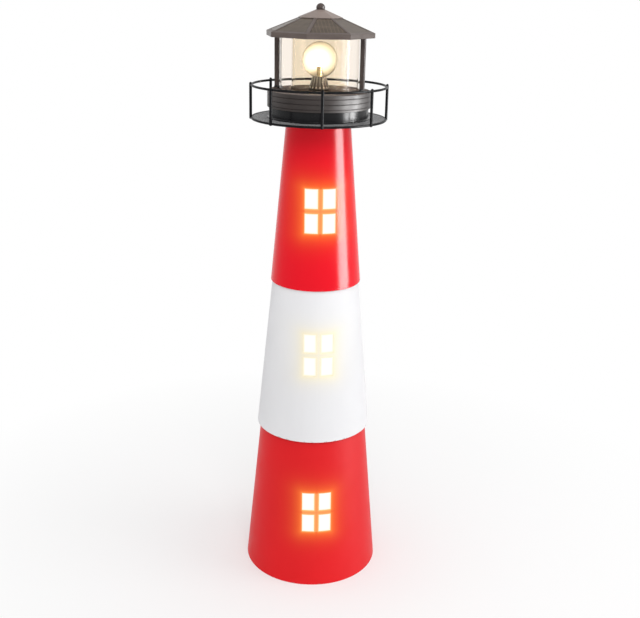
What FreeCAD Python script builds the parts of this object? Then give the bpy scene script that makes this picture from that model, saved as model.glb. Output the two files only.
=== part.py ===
"""Garden lighthouse ornament with a solar lantern head.

Three tapered metal tower sections slip over one another. The top one carries
a gallery with a wire rail and a metal collar. A plastic lantern head lifts
off the collar; inside it a small gear motor turns a reflector round a fixed
lamp stem. Lengths are in millimetres, with +Z up and the origin at the centre
of the foot. The windows face -Y.
"""
import FreeCAD
import Part
import Sketcher
import math
import os

# Driving sizes. Each becomes one cell of the sheet, under the same name.
SIZES = {
    # Tower sections. A taper is the radius lost for each millimetre of height.
    "tower_wall": 0.8,
    "foot_radius": 67.4,
    "foot_lip": 6.0,
    "lower_rise": 154.0,
    "middle_rise": 150.0,
    "upper_rise": 154.0,
    "lower_taper": 0.0948,
    "middle_taper": 0.096,
    "upper_taper": 0.0883,
    "lower_step": 3.4,
    "upper_step": 1.6,
    "section_overlap": 18.0,
    "section_fit": 0.1,
    "top_flange": 7.0,
    # Windows: four panes each. A window's level is its centre above its section's foot.
    "pane_width": 12.0,
    "pane_height": 18.2,
    "window_bar": 4.5,
    "lower_window_level": 78.6,
    "middle_window_level": 87.7,
    "upper_window_level": 74.7,
    "film_thickness": 0.3,
    "film_margin": 5.0,
    # Gallery and rail.
    "plate_thickness": 1.2,
    "ring_radius": 61.6,
    "ring_wire": 2.2,
    "ring_seat": 0.5,
    "rail_rise": 29.4,
    "stanchions": 8,
    "stanchion_wire": 2.6,
    "stanchion_offset": 0.9,
    "stanchion_tail": 1.4,
    "gallery_turn_angle": -2.3,
    # Collar that the lantern head slips over.
    "collar_radius": 45.7,
    "collar_wall": 0.8,
    "collar_rise": 22.8,
    "collar_lip": 1.6,
    # Lantern base: a ribbed skirt with a deck on top.
    "lantern_turn_angle": 4.0,
    "skirt_gap": 0.3,
    "skirt_wall": 1.4,
    "skirt_drop": 13.0,
    "edge_round": 1.0,
    "groove_depth": 0.5,
    "groove_width": 0.8,
    "groove_pitch": 4.5,
    "groove_top": 1.4,
    "deck_thickness": 2.0,
    # Lens tubes and the two posts that carry the roof.
    "lens_rise": 47.0,
    "lens_wall": 1.2,
    "outer_lens_radius": 37.0,
    "inner_lens_radius": 25.5,
    "post_gap": 0.7,
    "post_depth": 4.2,
    "post_top_width": 5.9,
    "post_foot_width": 4.6,
    "post_pad_length": 13.6,
    "post_pad_thickness": 1.6,
    "post_screw_offset": 4.7,
    # Roof: a pyramid on a regular octagon. Its radius runs to the corners.
    "roof_sides": 8,
    "roof_radius": 50.3,
    "roof_slope": 0.399,
    "roof_wall": 2.0,
    "fascia_rise": 4.3,
    "fascia_wall": 1.6,
    "ceiling_thickness": 1.6,
    "roof_flat_radius": 4.4,
    "cap_radius": 20.5,
    "cap_thickness": 0.5,
    "cell_recess": 0.8,
    "solar_cell_thickness": 0.5,
    "solar_cell_gap": 0.2,
    "hip_width": 3.4,
    "eave_width": 3.0,
    "finial_radius": 4.0,
    "finial_level": 1.5,
    # Tray for the works, inside the collar.
    "tray_radius": 42.0,
    "tray_wall": 1.5,
    "tray_floor": 2.0,
    "tray_depth": 20.0,
    "pillar_radius": 2.8,
    "pillar_circle": 36.0,
    # Battery: one AA cell, lying across the back of the tray.
    "battery_diameter": 14.5,
    "battery_length": 50.5,
    "battery_tip_length": 1.0,
    "battery_tip_diameter": 5.5,
    "battery_offset": 21.5,
    "contact_thickness": 0.5,
    "contact_width": 10.0,
    "contact_rise": 12.0,
    "leaf_bow": 2.2,
    "cover_length": 55.0,
    "cover_width": 17.0,
    "cover_thickness": 1.2,
    "cover_gap": 0.2,
    "cover_ledge": 1.1,
    # Circuit board.
    "board_length": 18.0,
    "board_width": 17.0,
    "board_thickness": 1.2,
    "board_x": -27.0,
    "board_y": -4.5,
    "board_stand": 3.0,
    # Motor, gears and the turning hub. A gear's pitch radius is module x teeth / 2.
    "gear_module": 0.7,
    "gear_teeth": 36,
    "pinion_teeth": 12,
    "gear_thickness": 2.5,
    "gear_hub_radius": 6.0,
    "gear_hub_rise": 1.6,
    "thrust_gap": 0.3,
    "motor_diameter": 15.0,
    "motor_length": 12.0,
    "motor_neck": 0.6,
    "motor_shaft_diameter": 2.0,
    "pinion_stub": 0.4,
    "running_fit": 0.05,
    "stem_diameter": 5.0,
    "stem_gap": 0.3,
    "sleeve_wall": 1.2,
    "hub_radius": 9.5,
    "hub_rim": 2.2,
    "hub_top_radius": 6.6,
    "hub_seat": 1.2,
    # Lamp and reflector.
    "lamp_level": 27.0,
    "led_diameter": 5.0,
    "led_body": 6.0,
    "reflector_focus": 7.0,
    "reflector_radius": 16.0,
    "reflector_wall": 1.0,
    # Slide switch under the tray.
    "switch_y": -31.0,
    "switch_length": 13.0,
    "switch_width": 6.4,
    "switch_rise": 5.0,
    "slider_travel": 4.0,
    "slider_length": 3.0,
    "slider_width": 2.4,
    "slider_drop": 1.4,
    "slider_flange": 1.4,
    "slider_flange_thickness": 1.5,
    "slider_gap": 0.3,
    # Screws.
    "gallery_screw_diameter": 3.0,
    "tray_screw_diameter": 2.2,
    "post_screw_diameter": 1.8,
    "screw_hole_gap": 0.05,
}

SCREWS_PER_RING = 3
GROOVES = 3
WIRE_FLATS = 8
BOWL_STEPS = 6
BEAD_SHOULDER = 0.6
EDGE_FACET = 0.3
TOOTH_ROOT = 1.1
TOOTH_TIP = 0.8
TOOTH_ROOT_WIDTH = 1.5
TOOTH_TIP_WIDTH = 0.62

doc = FreeCAD.newDocument("GardenLighthouse")
sheet = doc.addObject("Spreadsheet::Sheet", "Sizes")
sub_parts = []


class Size:
    """A number, together with the sheet expression that gives it."""

    def __init__(self, number, text):
        self.number = float(number)
        self.text = text

    def __add__(self, other):
        return Size(self.number + number(other), f"({self.text} + {expression(other)})")

    def __radd__(self, other):
        return Size(number(other) + self.number, f"({expression(other)} + {self.text})")

    def __sub__(self, other):
        return Size(self.number - number(other), f"({self.text} - {expression(other)})")

    def __rsub__(self, other):
        return Size(number(other) - self.number, f"({expression(other)} - {self.text})")

    def __mul__(self, other):
        return Size(self.number * number(other), f"({self.text} * {expression(other)})")

    def __rmul__(self, other):
        return Size(number(other) * self.number, f"({expression(other)} * {self.text})")

    def __truediv__(self, other):
        return Size(self.number / number(other), f"({self.text} / {expression(other)})")

    def __rtruediv__(self, other):
        return Size(number(other) / self.number, f"({expression(other)} / {self.text})")

    def __neg__(self):
        return Size(-self.number, f"(-1 * {self.text})")


def number(value):
    return value.number if isinstance(value, Size) else float(value)


def expression(value):
    return value.text if isinstance(value, Size) else repr(value)


def cosine(angle):
    return Size(math.cos(math.radians(number(angle))), f"cos({expression(angle)})")


def sine(angle):
    return Size(math.sin(math.radians(number(angle))), f"sin({expression(angle)})")


def tangent(angle):
    return Size(math.tan(math.radians(number(angle))), f"tan({expression(angle)})")


def fill_sheet():
    """Write the driving sizes into the sheet, one row each."""
    for row, (name, value) in enumerate(SIZES.items(), start=1):
        sheet.set(f"A{row}", name)
        sheet.set(f"B{row}", str(value))
        sheet.setAlias(f"B{row}", name)
    doc.recompute()


def size(name):
    """A driving size, as the sheet holds it."""
    return Size(sheet.get(name), f"Sizes.{name}")


# Binding and placing ---------------------------------------------------------

def bind(item, name, value):
    """Set one property of an object and bind it to the sheet."""
    if isinstance(value, Size):
        item.setExpression(name, value.text)
    else:
        setattr(item, name, value)


def place(item, x=0, y=0, z=0, axis=(0, 0, 1), angle=0):
    """Place an object, with each coordinate and the angle bound to the sheet."""
    base = FreeCAD.Vector(number(x), number(y), number(z))
    turn = FreeCAD.Rotation(FreeCAD.Vector(*axis), number(angle))
    item.Placement = FreeCAD.Placement(base, turn)
    fields = {"Base.x": x, "Base.y": y, "Base.z": z, "Rotation.Angle": angle}
    for field, value in fields.items():
        if isinstance(value, Size):
            item.setExpression(f"Placement.{field}", value.text)


def place_in_head(item, x=0, y=0, z=0, angle=0):
    """Place an object of the lantern head, which stands turned on the tower."""
    turn = size("lantern_turn_angle")
    across = x * cosine(turn) - y * sine(turn)
    along = x * sine(turn) + y * cosine(turn)
    place(item, across, along, z, angle=turn + angle)


def sub_part(item, label):
    """Name a finished piece and put it on the list that is written out."""
    item.Label = label
    sub_parts.append(item)
    return item


# Sketches and bodies ---------------------------------------------------------

def tie(sketch, constraint, value):
    """Add a dimension to a sketch and bind it to the sheet."""
    index = sketch.addConstraint(constraint)
    if isinstance(value, Size):
        sketch.setExpression(f"Constraints[{index}]", value.text)


def pin(sketch, edge, end, kind, value):
    """Fix one coordinate of an edge's end, measured from the sketch's origin."""
    axis_line = -2 if kind == "DistanceX" else -1
    if number(value) == 0:
        sketch.addConstraint(Sketcher.Constraint("PointOnObject", edge, end, axis_line))
    elif number(value) > 0:
        tie(sketch, Sketcher.Constraint(kind, -1, 1, edge, end, number(value)), value)
    else:
        tie(sketch, Sketcher.Constraint(kind, edge, end, -1, 1, -number(value)), -value)


def arc_between(start, end, radius):
    """An arc from start to end, which turns left where the radius is positive."""
    chord = end - start
    reach = math.sqrt(max(radius ** 2 - (chord.Length / 2) ** 2, 0))
    left = FreeCAD.Vector(-chord.y, chord.x, 0).normalize()
    side = 1 if radius > 0 else -1
    centre = (start + end) / 2 + left * reach * side
    first, last = (start, end) if radius > 0 else (end, start)
    begins = math.atan2(first.y - centre.y, first.x - centre.x)
    stops = math.atan2(last.y - centre.y, last.x - centre.x)
    if stops < begins:
        stops += 2 * math.pi
    circle = Part.Circle(centre, FreeCAD.Vector(0, 0, 1), abs(radius))
    return Part.ArcOfCircle(circle, begins, stops)


def draw_outline(sketch, points):
    """Draw a closed outline with every corner tied to the sheet.

    A point is (across, up), or (across, up, radius) where an arc of that
    radius leads up to it.
    """
    corners = [FreeCAD.Vector(number(point[0]), number(point[1]), 0) for point in points]
    edges = []
    for index, point in enumerate(points):
        start = corners[index - 1]
        end = corners[index]
        if len(point) == 2:
            edge = sketch.addGeometry(Part.LineSegment(start, end), False)
            edges.append((edge, 1, 2))
            continue
        radius = point[2]
        edge = sketch.addGeometry(arc_between(start, end, number(radius)), False)
        left = number(radius) > 0
        edges.append((edge, 1, 2) if left else (edge, 2, 1))
        measure = radius if left else -radius
        tie(sketch, Sketcher.Constraint("Radius", edge, number(measure)), measure)
    for index, point in enumerate(points):
        edge, _, end = edges[index]
        following, start, _ = edges[(index + 1) % len(points)]
        sketch.addConstraint(Sketcher.Constraint("Coincident", edge, end, following, start))
        pin(sketch, edge, end, "DistanceX", point[0])
        pin(sketch, edge, end, "DistanceY", point[1])


def rectangle(left, right, low, high):
    return [(left, low), (right, low), (right, high), (left, high)]


def sketch_on(body, role, name, outlines, level=0):
    """A sketch on one of the body's own origin planes, or level above it."""
    sketch = body.newObject("Sketcher::SketchObject", name)
    plane = next(plane for plane in body.Origin.OriginFeatures if plane.Role == role)
    sketch.AttachmentSupport = [(plane, "")]
    sketch.MapMode = "FlatFace"
    if isinstance(level, Size):
        sketch.AttachmentOffset = FreeCAD.Placement(
            FreeCAD.Vector(0, 0, level.number), FreeCAD.Rotation()
        )
        sketch.setExpression("AttachmentOffset.Base.z", level.text)
    for outline in outlines:
        draw_outline(sketch, outline)
    return sketch


def turned_body(name, outline, axis="V_Axis"):
    """A body turned round Z from an outline of (radius, height) points.

    With H_Axis it is turned round X instead, from (length, radius) points.
    """
    body = doc.addObject("PartDesign::Body", name)
    sketch = sketch_on(body, "XZ_Plane", f"{name}_profile", [outline])
    revolution = body.newObject("PartDesign::Revolution", f"{name}_revolution")
    revolution.Profile = sketch
    revolution.ReferenceAxis = (sketch, [axis])
    revolution.Angle = 360
    return body


def padded_body(name, outline, height, level=0, role="XY_Plane", midplane=False):
    """A body padded from an outline on one of its origin planes."""
    body = doc.addObject("PartDesign::Body", name)
    sketch = sketch_on(body, role, f"{name}_outline", [outline], level)
    pad = body.newObject("PartDesign::Pad", f"{name}_pad")
    pad.Profile = sketch
    pad.Midplane = midplane
    bind(pad, "Length", height)
    return body


def tube_outline(bore, radius, low, high):
    return [(bore, low), (radius, low), (radius, high), (bore, high)]


# Simple solids and how they combine --------------------------------------------

def cylinder(name, radius, height, x=0, y=0, z=0):
    item = doc.addObject("Part::Cylinder", name)
    bind(item, "Radius", radius)
    bind(item, "Height", height)
    place(item, x, y, z)
    return item


def box(name, length, width, height, x, y, z):
    """A box centred on x and y, standing on z."""
    item = doc.addObject("Part::Box", name)
    bind(item, "Length", length)
    bind(item, "Width", width)
    bind(item, "Height", height)
    place(item, x - length / 2, y - width / 2, z)
    return item


def wire_ring(name, radius, wire, z):
    """A ring of wire, turned from a section with a few flats instead of a circle."""
    corner = wire / 2 / math.cos(math.pi / WIRE_FLATS)
    outline = []
    for index in range(WIRE_FLATS):
        angle = (index + 0.5) * 360 / WIRE_FLATS
        across = radius + corner * math.cos(math.radians(angle))
        outline.append((across, z + corner * math.sin(math.radians(angle))))
    return turned_body(name, outline)


def octagon_prism(name, radius, z, height):
    item = doc.addObject("Part::Prism", name)
    bind(item, "Polygon", size("roof_sides"))
    bind(item, "Circumradius", radius)
    bind(item, "Height", height)
    place(item, z=z, angle=180 / size("roof_sides"))
    return item


def fuse(name, *items):
    item = doc.addObject("Part::MultiFuse", name)
    item.Shapes = list(items)
    return item


def cut(name, base, *tools):
    item = doc.addObject("Part::Cut", name)
    item.Base = base
    item.Tool = tools[0] if len(tools) == 1 else fuse(f"{name}_tools", *tools)
    return item


def common(name, base, tool):
    item = doc.addObject("Part::Common", name)
    item.Base = base
    item.Tool = tool
    return item


def screw(name, x, y, seat, diameter, length, up):
    """A pan-head screw. Its head bears on seat, and its shank runs up or down."""
    head_rise = diameter * 0.55
    if up:
        head = cylinder(f"{name}_head", diameter * 0.95, head_rise, x, y, seat - head_rise)
        shank = cylinder(f"{name}_shank", diameter / 2, length, x, y, seat)
    else:
        head = cylinder(f"{name}_head", diameter * 0.95, head_rise, x, y, seat)
        shank = cylinder(f"{name}_shank", diameter / 2, length, x, y, seat - length)
    return fuse(name, head, shank)


def screw_circle(radius, first_angle):
    """Centres spaced evenly round a circle."""
    for index in range(SCREWS_PER_RING):
        angle = first_angle + index * 360 / SCREWS_PER_RING
        yield index, radius * cosine(angle), radius * sine(angle)


# Levels that several pieces share -------------------------------------------------

def middle_foot():
    return size("lower_rise")


def upper_foot():
    return middle_foot() + size("middle_rise")


def tower_top():
    return upper_foot() + size("upper_rise")


def plate_top():
    return tower_top() + size("plate_thickness")


def deck_underside():
    return plate_top() + size("collar_rise")


def deck_top():
    return deck_underside() + size("deck_thickness")


def roof_base():
    return deck_top() + size("lens_rise")


def eave():
    return roof_base() + size("fascia_rise")


def roof_flat():
    return eave() + (size("roof_radius") - size("roof_flat_radius")) * size("roof_slope")


def lamp_height():
    return deck_top() + size("lamp_level")


def tray_underside():
    return deck_underside() - size("tray_depth")


def tray_inside():
    return tray_underside() + size("tray_floor")


# Tower -----------------------------------------------------------------------

def middle_foot_radius():
    narrowed = size("lower_taper") * size("lower_rise")
    return size("foot_radius") - narrowed + size("lower_step")


def upper_foot_radius():
    narrowed = size("middle_taper") * size("middle_rise")
    return middle_foot_radius() - narrowed + size("upper_step")


def tower_top_radius():
    return upper_foot_radius() - size("upper_taper") * size("upper_rise")


def flange_hole_radius():
    return tower_top_radius() - size("top_flange")


def beaded_top(foot, height, radius, taper, next_radius, next_taper):
    """The rolled top edge of a section, sized to fill the bore of the next one."""
    overlap = size("section_overlap")
    wall = size("tower_wall")
    top_radius = radius - taper * height
    next_bore = next_radius - wall - next_taper * overlap
    bead = (next_bore - size("section_fit") - top_radius) / (1 - next_taper * BEAD_SHOULDER)
    shoulder = bead * BEAD_SHOULDER
    top = foot + height
    return [
        (radius - taper * (height - bead * 2), top - bead * 2),
        (top_radius + bead, top - bead * 2 + shoulder),
        (top_radius + bead, top - shoulder),
        (top_radius + bead - shoulder, top),
        (top_radius - wall, top),
    ]


def cut_window(body, name, centre):
    """Cut the four panes of a window through the -Y wall of a section."""
    half_bar = size("window_bar") / 2
    width = size("pane_width")
    rise = size("pane_height")
    panes = []
    for left in (half_bar, -half_bar - width):
        for low in (centre + half_bar, centre - half_bar - rise):
            panes.append(rectangle(left, left + width, low, low + rise))
    sketch = sketch_on(body, "XZ_Plane", f"{name}_panes", panes)
    pocket = body.newObject("PartDesign::Pocket", f"{name}_window")
    pocket.Profile = sketch
    pocket.Reversed = True
    bind(pocket, "Length", size("foot_radius") + size("tower_wall"))
    body.Tip = pocket


def lower_section():
    wall = size("tower_wall")
    foot_radius = size("foot_radius")
    lip = foot_radius - size("foot_lip")
    taper = size("lower_taper")
    height = size("lower_rise") + size("section_overlap")
    top = beaded_top(0, height, foot_radius, taper, middle_foot_radius(), size("middle_taper"))
    outline = [(lip, 0), (foot_radius, 0)] + top
    outline += [(foot_radius - wall - taper * wall, wall), (lip, wall)]
    body = turned_body("LowerSection", outline)
    cut_window(body, "Lower", size("lower_window_level"))
    return sub_part(body, "lower_tower_section")


def middle_section():
    wall = size("tower_wall")
    foot = middle_foot()
    radius = middle_foot_radius()
    height = size("middle_rise") + size("section_overlap")
    top = beaded_top(
        foot, height, radius, size("middle_taper"), upper_foot_radius(), size("upper_taper")
    )
    outline = [(radius - wall, foot), (radius, foot)] + top
    body = turned_body("MiddleSection", outline)
    cut_window(body, "Middle", foot + size("middle_window_level"))
    return sub_part(body, "middle_tower_section")


def upper_section():
    """The top section, whose upper edge turns in to carry the gallery."""
    wall = size("tower_wall")
    foot = upper_foot()
    top = tower_top()
    radius = upper_foot_radius()
    under_flange = tower_top_radius() + size("upper_taper") * wall - wall
    outline = [
        (radius - wall, foot),
        (radius, foot),
        (tower_top_radius(), top),
        (flange_hole_radius(), top),
        (flange_hole_radius(), top - wall),
        (under_flange, top - wall),
    ]
    body = turned_body("UpperSection", outline)
    cut_window(body, "Upper", foot + size("upper_window_level"))
    holes = gallery_screw_holes("UpperSectionHoles", top - wall, wall)
    return sub_part(cut("UpperSectionDrilled", body, *holes), "upper_tower_section")


def window_film(name, label, foot, radius, taper, level):
    """A curved diffuser sheet on the inside of the wall, behind one window."""
    margin = size("film_margin")
    half_rise = size("pane_height") + size("window_bar") / 2 + margin
    width = size("pane_width") * 2 + size("window_bar") + margin * 2
    low = level - half_rise
    high = level + half_rise
    bore_low = radius - size("tower_wall") - taper * low
    bore_high = radius - size("tower_wall") - taper * high
    film = size("film_thickness")
    shell = turned_body(name, [
        (bore_low - film, foot + low),
        (bore_low, foot + low),
        (bore_high, foot + high),
        (bore_high - film, foot + high),
    ])
    strip = box(f"{name}Strip", width, radius, half_rise * 2, 0, radius / -2, foot + low)
    return sub_part(common(f"{name}Sheet", shell, strip), label)


def window_films():
    window_film("LowerFilm", "lower_window_film", Size(0, "0"), size("foot_radius"),
                size("lower_taper"), size("lower_window_level"))
    window_film("MiddleFilm", "middle_window_film", middle_foot(), middle_foot_radius(),
                size("middle_taper"), size("middle_window_level"))
    window_film("UpperFilm", "upper_window_film", upper_foot(), upper_foot_radius(),
                size("upper_taper"), size("upper_window_level"))


# Gallery -----------------------------------------------------------------------

def gallery_screw_circle():
    """Three screws through the middle of the turned-in flange."""
    return screw_circle(tower_top_radius() - size("top_flange") / 2, 30)


def gallery_screw_holes(name, level, height):
    radius = size("gallery_screw_diameter") / 2 + size("screw_hole_gap")
    for index, x, y in gallery_screw_circle():
        yield cylinder(f"{name}{index}", radius, height, x, y, level)


def gallery_screws():
    """Screws from above, each with its nut under the flange."""
    diameter = size("gallery_screw_diameter")
    grip = size("plate_thickness") + size("tower_wall")
    nut_rise = diameter * 0.8
    pieces = []
    for index, x, y in gallery_screw_circle():
        name = f"GalleryScrew{index}"
        pieces.append(screw(name, x, y, plate_top(), diameter, grip + nut_rise, up=False))
        nut = doc.addObject("Part::Prism", f"{name}Nut")
        nut.Polygon = 6
        bind(nut, "Circumradius", diameter)
        bind(nut, "Height", nut_rise)
        place(nut, x, y, plate_top() - grip - nut_rise)
        pieces.append(nut)
    return sub_part(fuse("GalleryScrews", *pieces), "gallery_screws")


def rail_rings():
    middle = tower_top() + size("plate_thickness") / 2
    radius = size("ring_radius")
    wire = size("ring_wire")
    low = wire_ring("LowerRing", radius, wire, middle)
    high = wire_ring("UpperRing", radius, wire, middle + size("rail_rise"))
    sub_part(low, "rail_bottom_ring")
    sub_part(high, "rail_top_ring")
    return low, high


def gallery_plate(edge_ring):
    """The floor of the gallery, let into the ring that runs round its edge."""
    radius = size("ring_radius") - size("ring_wire") / 2 + size("ring_seat")
    body = turned_body("GalleryPlate", tube_outline(
        flange_hole_radius(), radius, tower_top(), plate_top()))
    holes = gallery_screw_holes("GalleryPlateHole", tower_top(), size("plate_thickness"))
    return sub_part(cut("GalleryPlateDrilled", body, edge_ring, *holes), "gallery_plate")


def rail_stanchions(low_ring, high_ring):
    """Round wire posts, notched where the two rings are welded into them."""
    count = int(number(size("stanchions")))
    wire = size("stanchion_wire")
    circle = size("ring_radius") + size("stanchion_offset")
    foot = tower_top() + size("plate_thickness") / 2 - size("stanchion_tail")
    height = size("rail_rise") + size("stanchion_tail") * 2
    for index in range(count):
        angle = size("gallery_turn_angle") - 90 + index * 360 / count
        x = circle * cosine(angle)
        y = circle * sine(angle)
        name = f"Stanchion{index + 1}"
        rod = cylinder(f"{name}Rod", wire / 2, height, x, y, foot)
        tip = doc.addObject("Part::Cone", f"{name}Tip")
        bind(tip, "Radius1", wire / 2)
        bind(tip, "Radius2", wire / 4)
        bind(tip, "Height", wire / 3)
        place(tip, x, y, foot + height)
        post = cut(name, fuse(f"{name}Blank", rod, tip), low_ring, high_ring)
        sub_part(post, f"rail_stanchion_{index + 1}")


def lantern_collar():
    """A metal neck on the gallery, with a small lip at its foot."""
    radius = size("collar_radius")
    wall = size("collar_wall")
    lip = radius + size("collar_lip")
    body = turned_body("Collar", [
        (radius - wall, plate_top()),
        (lip, plate_top()),
        (lip, plate_top() + wall),
        (radius, plate_top() + wall),
        (radius, deck_underside()),
        (radius - wall, deck_underside()),
    ])
    return sub_part(body, "lantern_collar")


# Lantern base and tray -----------------------------------------------------------

def sleeve_radius():
    return size("stem_diameter") / 2 + size("stem_gap") + size("sleeve_wall")


def tray_screw_circle():
    """Three places, one of which is midway between the two screws of the right post."""
    return screw_circle(size("pillar_circle"), dict(post_places())["right"])


def post_places():
    """Angle of each roof post, under two opposite corners of the roof."""
    corner = 180 - 180 / size("roof_sides")
    return (("left", corner), ("right", corner + 180))


def post_radius():
    """Distance out to the middle of each post, which clears the outer tube by a gap."""
    return size("outer_lens_radius") + size("post_gap") + size("post_depth") / 2


def post_screw_places():
    """Two screws through the pad of each post, one on either side of it."""
    for side, angle in post_places():
        for sign in (-1, 1):
            offset = size("post_screw_offset") * sign
            x = post_radius() * cosine(angle) - offset * sine(angle)
            y = post_radius() * sine(angle) + offset * cosine(angle)
            yield f"{side}{'A' if sign < 0 else 'B'}", x, y


def grooves(radius):
    """Outline points, going up, of the shallow grooves round the skirt."""
    points = []
    for index in reversed(range(GROOVES)):
        high = deck_underside() - size("groove_top") - size("groove_pitch") * index
        low = high - size("groove_width")
        points += [(radius, low), (radius - size("groove_depth"), (low + high) / 2), (radius, high)]
    return points


def softened_edge(radius, top):
    """Outline points, going up, of a rounded top edge laid out as three facets."""
    edge = size("edge_round")
    return [
        (radius, top - edge),
        (radius - edge * EDGE_FACET, top - edge * EDGE_FACET),
        (radius - edge, top),
    ]


def lantern_base():
    bore = size("collar_radius") + size("skirt_gap")
    radius = bore + size("skirt_wall")
    bearing = sleeve_radius() + size("running_fit")
    foot = deck_underside() - size("skirt_drop")
    outline = [(bearing, deck_underside()), (bore, deck_underside()), (bore, foot), (radius, foot)]
    outline += grooves(radius)
    outline += softened_edge(radius, deck_top())
    outline += [(bearing, deck_top())]
    body = turned_body("LanternBase", outline)
    gap = size("screw_hole_gap")
    holes = []
    for index, x, y in tray_screw_circle():
        holes.append(cylinder(f"BaseTrayHole{index}", size("tray_screw_diameter") / 2 + gap,
                              tray_screw_bite(), x, y, deck_underside()))
    for name, x, y in post_screw_places():
        holes.append(cylinder(f"BasePostHole{name}", size("post_screw_diameter") / 2 + gap,
                              size("deck_thickness"), x, y, deck_underside()))
    drilled = cut("LanternBaseDrilled", body, *holes)
    place_in_head(drilled)
    return sub_part(drilled, "lantern_base")


def tray_screw_bite():
    return size("deck_thickness") * 0.7


def tray_screw_recess():
    """Depth of the head recess, a little more than the screw head needs."""
    return size("tray_screw_diameter") * 0.55 + size("screw_hole_gap")


def works_tray():
    """The tray that holds the works, hung under the deck on three pillars."""
    radius = size("tray_radius")
    bore = radius - size("tray_wall")
    under = tray_underside()
    inside = tray_inside()
    body = turned_body("Tray", [
        (0, under), (radius, under), (radius, deck_underside()),
        (bore, deck_underside()), (bore, inside), (0, inside),
    ])
    rise = deck_underside() - inside
    parts = [body]
    holes = []
    gap = size("screw_hole_gap")
    shank = size("tray_screw_diameter") / 2 + gap
    head = size("tray_screw_diameter") * 0.95 + gap
    for index, x, y in tray_screw_circle():
        parts.append(cylinder(f"Pillar{index}", size("pillar_radius"), rise, x, y, inside))
        holes.append(cylinder(f"PillarHole{index}", shank, size("tray_depth"), x, y, under))
        holes.append(cylinder(f"PillarRecess{index}", head, tray_screw_recess(), x, y, under))
    stand_x = size("board_x")
    for index, sign in enumerate((-1, 1)):
        stand_y = size("board_y") + sign * size("board_width") / 4
        parts.append(cylinder(f"BoardStand{index}", 2, size("board_stand"), stand_x, stand_y, inside))
    length = size("cover_length")
    width = size("cover_width")
    ledge = size("cover_ledge") * 2
    y = size("battery_offset")
    thickness = size("cover_thickness")
    holes.append(box("CoverRebate", length, width, thickness, 0, y, under))
    holes.append(box("BatteryOpening", length - ledge * 2, width - ledge,
                     size("tray_floor"), 0, y, under))
    gap = size("slider_gap") * 2
    holes.append(box("SliderSlot", size("slider_length") + size("slider_travel") + gap,
                     size("slider_width") + gap, size("tray_floor"), 0, size("switch_y"), under))
    tray = cut("TrayFinished", fuse("TrayBlank", *parts), *holes)
    place_in_head(tray)
    return sub_part(tray, "works_tray")


def tray_screws():
    pieces = []
    seat = tray_underside() + tray_screw_recess()
    length = deck_underside() + tray_screw_bite() - seat
    for index, x, y in tray_screw_circle():
        pieces.append(screw(f"TrayScrew{index}", x, y, seat, size("tray_screw_diameter"),
                            length, up=True))
    screws = fuse("TrayScrews", *pieces)
    place_in_head(screws)
    return sub_part(screws, "tray_screws")


# Battery -----------------------------------------------------------------------

def battery_cell():
    """An AA cell lying along X, with its tip at the +X end."""
    radius = size("battery_diameter") / 2
    half = size("battery_length") / 2
    tip = size("battery_tip_diameter") / 2
    neck = half - size("battery_tip_length")
    cell = turned_body("Battery", [
        (-half, 0), (half, 0), (half, tip), (neck, tip), (neck, radius), (-half, radius),
    ], axis="H_Axis")
    place_in_head(cell, y=size("battery_offset"), z=tray_inside() + radius)
    return sub_part(cell, "battery_cell")


def battery_contacts():
    """A flat plate at the tip end, and a bowed leaf spring at the other end."""
    sheet_thickness = size("contact_thickness")
    half = size("battery_length") / 2
    offset = size("battery_offset")
    width = size("contact_width")
    plate = box("ContactPlate", sheet_thickness, width, size("contact_rise"), 0, 0, 0)
    place_in_head(plate, half, offset - width / 2, tray_inside())
    sub_part(plate, "battery_contact_plus")
    back = half + size("leaf_bow")
    side = offset - width / 2
    far = offset + width / 2
    quarter = width / 4
    leaf = padded_body("ContactLeaf", [
        (-back - sheet_thickness, side),
        (-back, side),
        (-half - sheet_thickness, offset - quarter),
        (-half, offset - quarter / 2),
        (-half, offset + quarter / 2),
        (-half - sheet_thickness, offset + quarter),
        (-back, far),
        (-back - sheet_thickness, far),
    ], size("contact_rise"), level=tray_inside())
    place_in_head(leaf)
    return sub_part(leaf, "battery_contact_minus")


def battery_cover():
    """A flush lid in the rebate under the cell, with a slot to lift it by."""
    gap = size("cover_gap") * 2
    length = size("cover_length") - gap
    width = size("cover_width") - gap
    y = size("battery_offset")
    lid = box("CoverLid", length, width, size("cover_thickness"), 0, y, tray_underside())
    slot = box("CoverSlot", size("battery_tip_diameter"), size("contact_thickness") * 2,
               size("cover_thickness") / 2, 0, y - width / 2 + size("cover_ledge") * 2,
               tray_underside())
    cover = cut("CoverFinished", lid, slot)
    place_in_head(cover)
    return sub_part(cover, "battery_cover")


def circuit_board():
    """The solar charging board on its two stands, with a chip and two other parts."""
    length = size("board_length")
    width = size("board_width")
    level = tray_inside() + size("board_stand")
    top = level + size("board_thickness")
    x = size("board_x")
    y = size("board_y")
    board = fuse(
        "Board",
        box("BoardSheet", length, width, size("board_thickness"), x, y, level),
        box("BoardChip", length / 3, width / 3, size("board_thickness"), x, y, top),
        box("BoardPlug", length / 4, width / 3, size("board_stand"), x - length / 3, y, top),
        cylinder("BoardCapacitor", size("board_stand") / 2, size("board_stand") * 1.5,
                 x + length / 3, y + width / 3, top),
    )
    place_in_head(board)
    return sub_part(board, "circuit_board")


# Motor, gears and turning hub ------------------------------------------------------

def gear_distance():
    return size("gear_module") * (size("gear_teeth") + size("pinion_teeth")) / 2


def gear_top():
    return deck_underside() - size("thrust_gap") - size("gear_hub_rise")


def gear_bottom():
    return gear_top() - size("gear_thickness")


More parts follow.
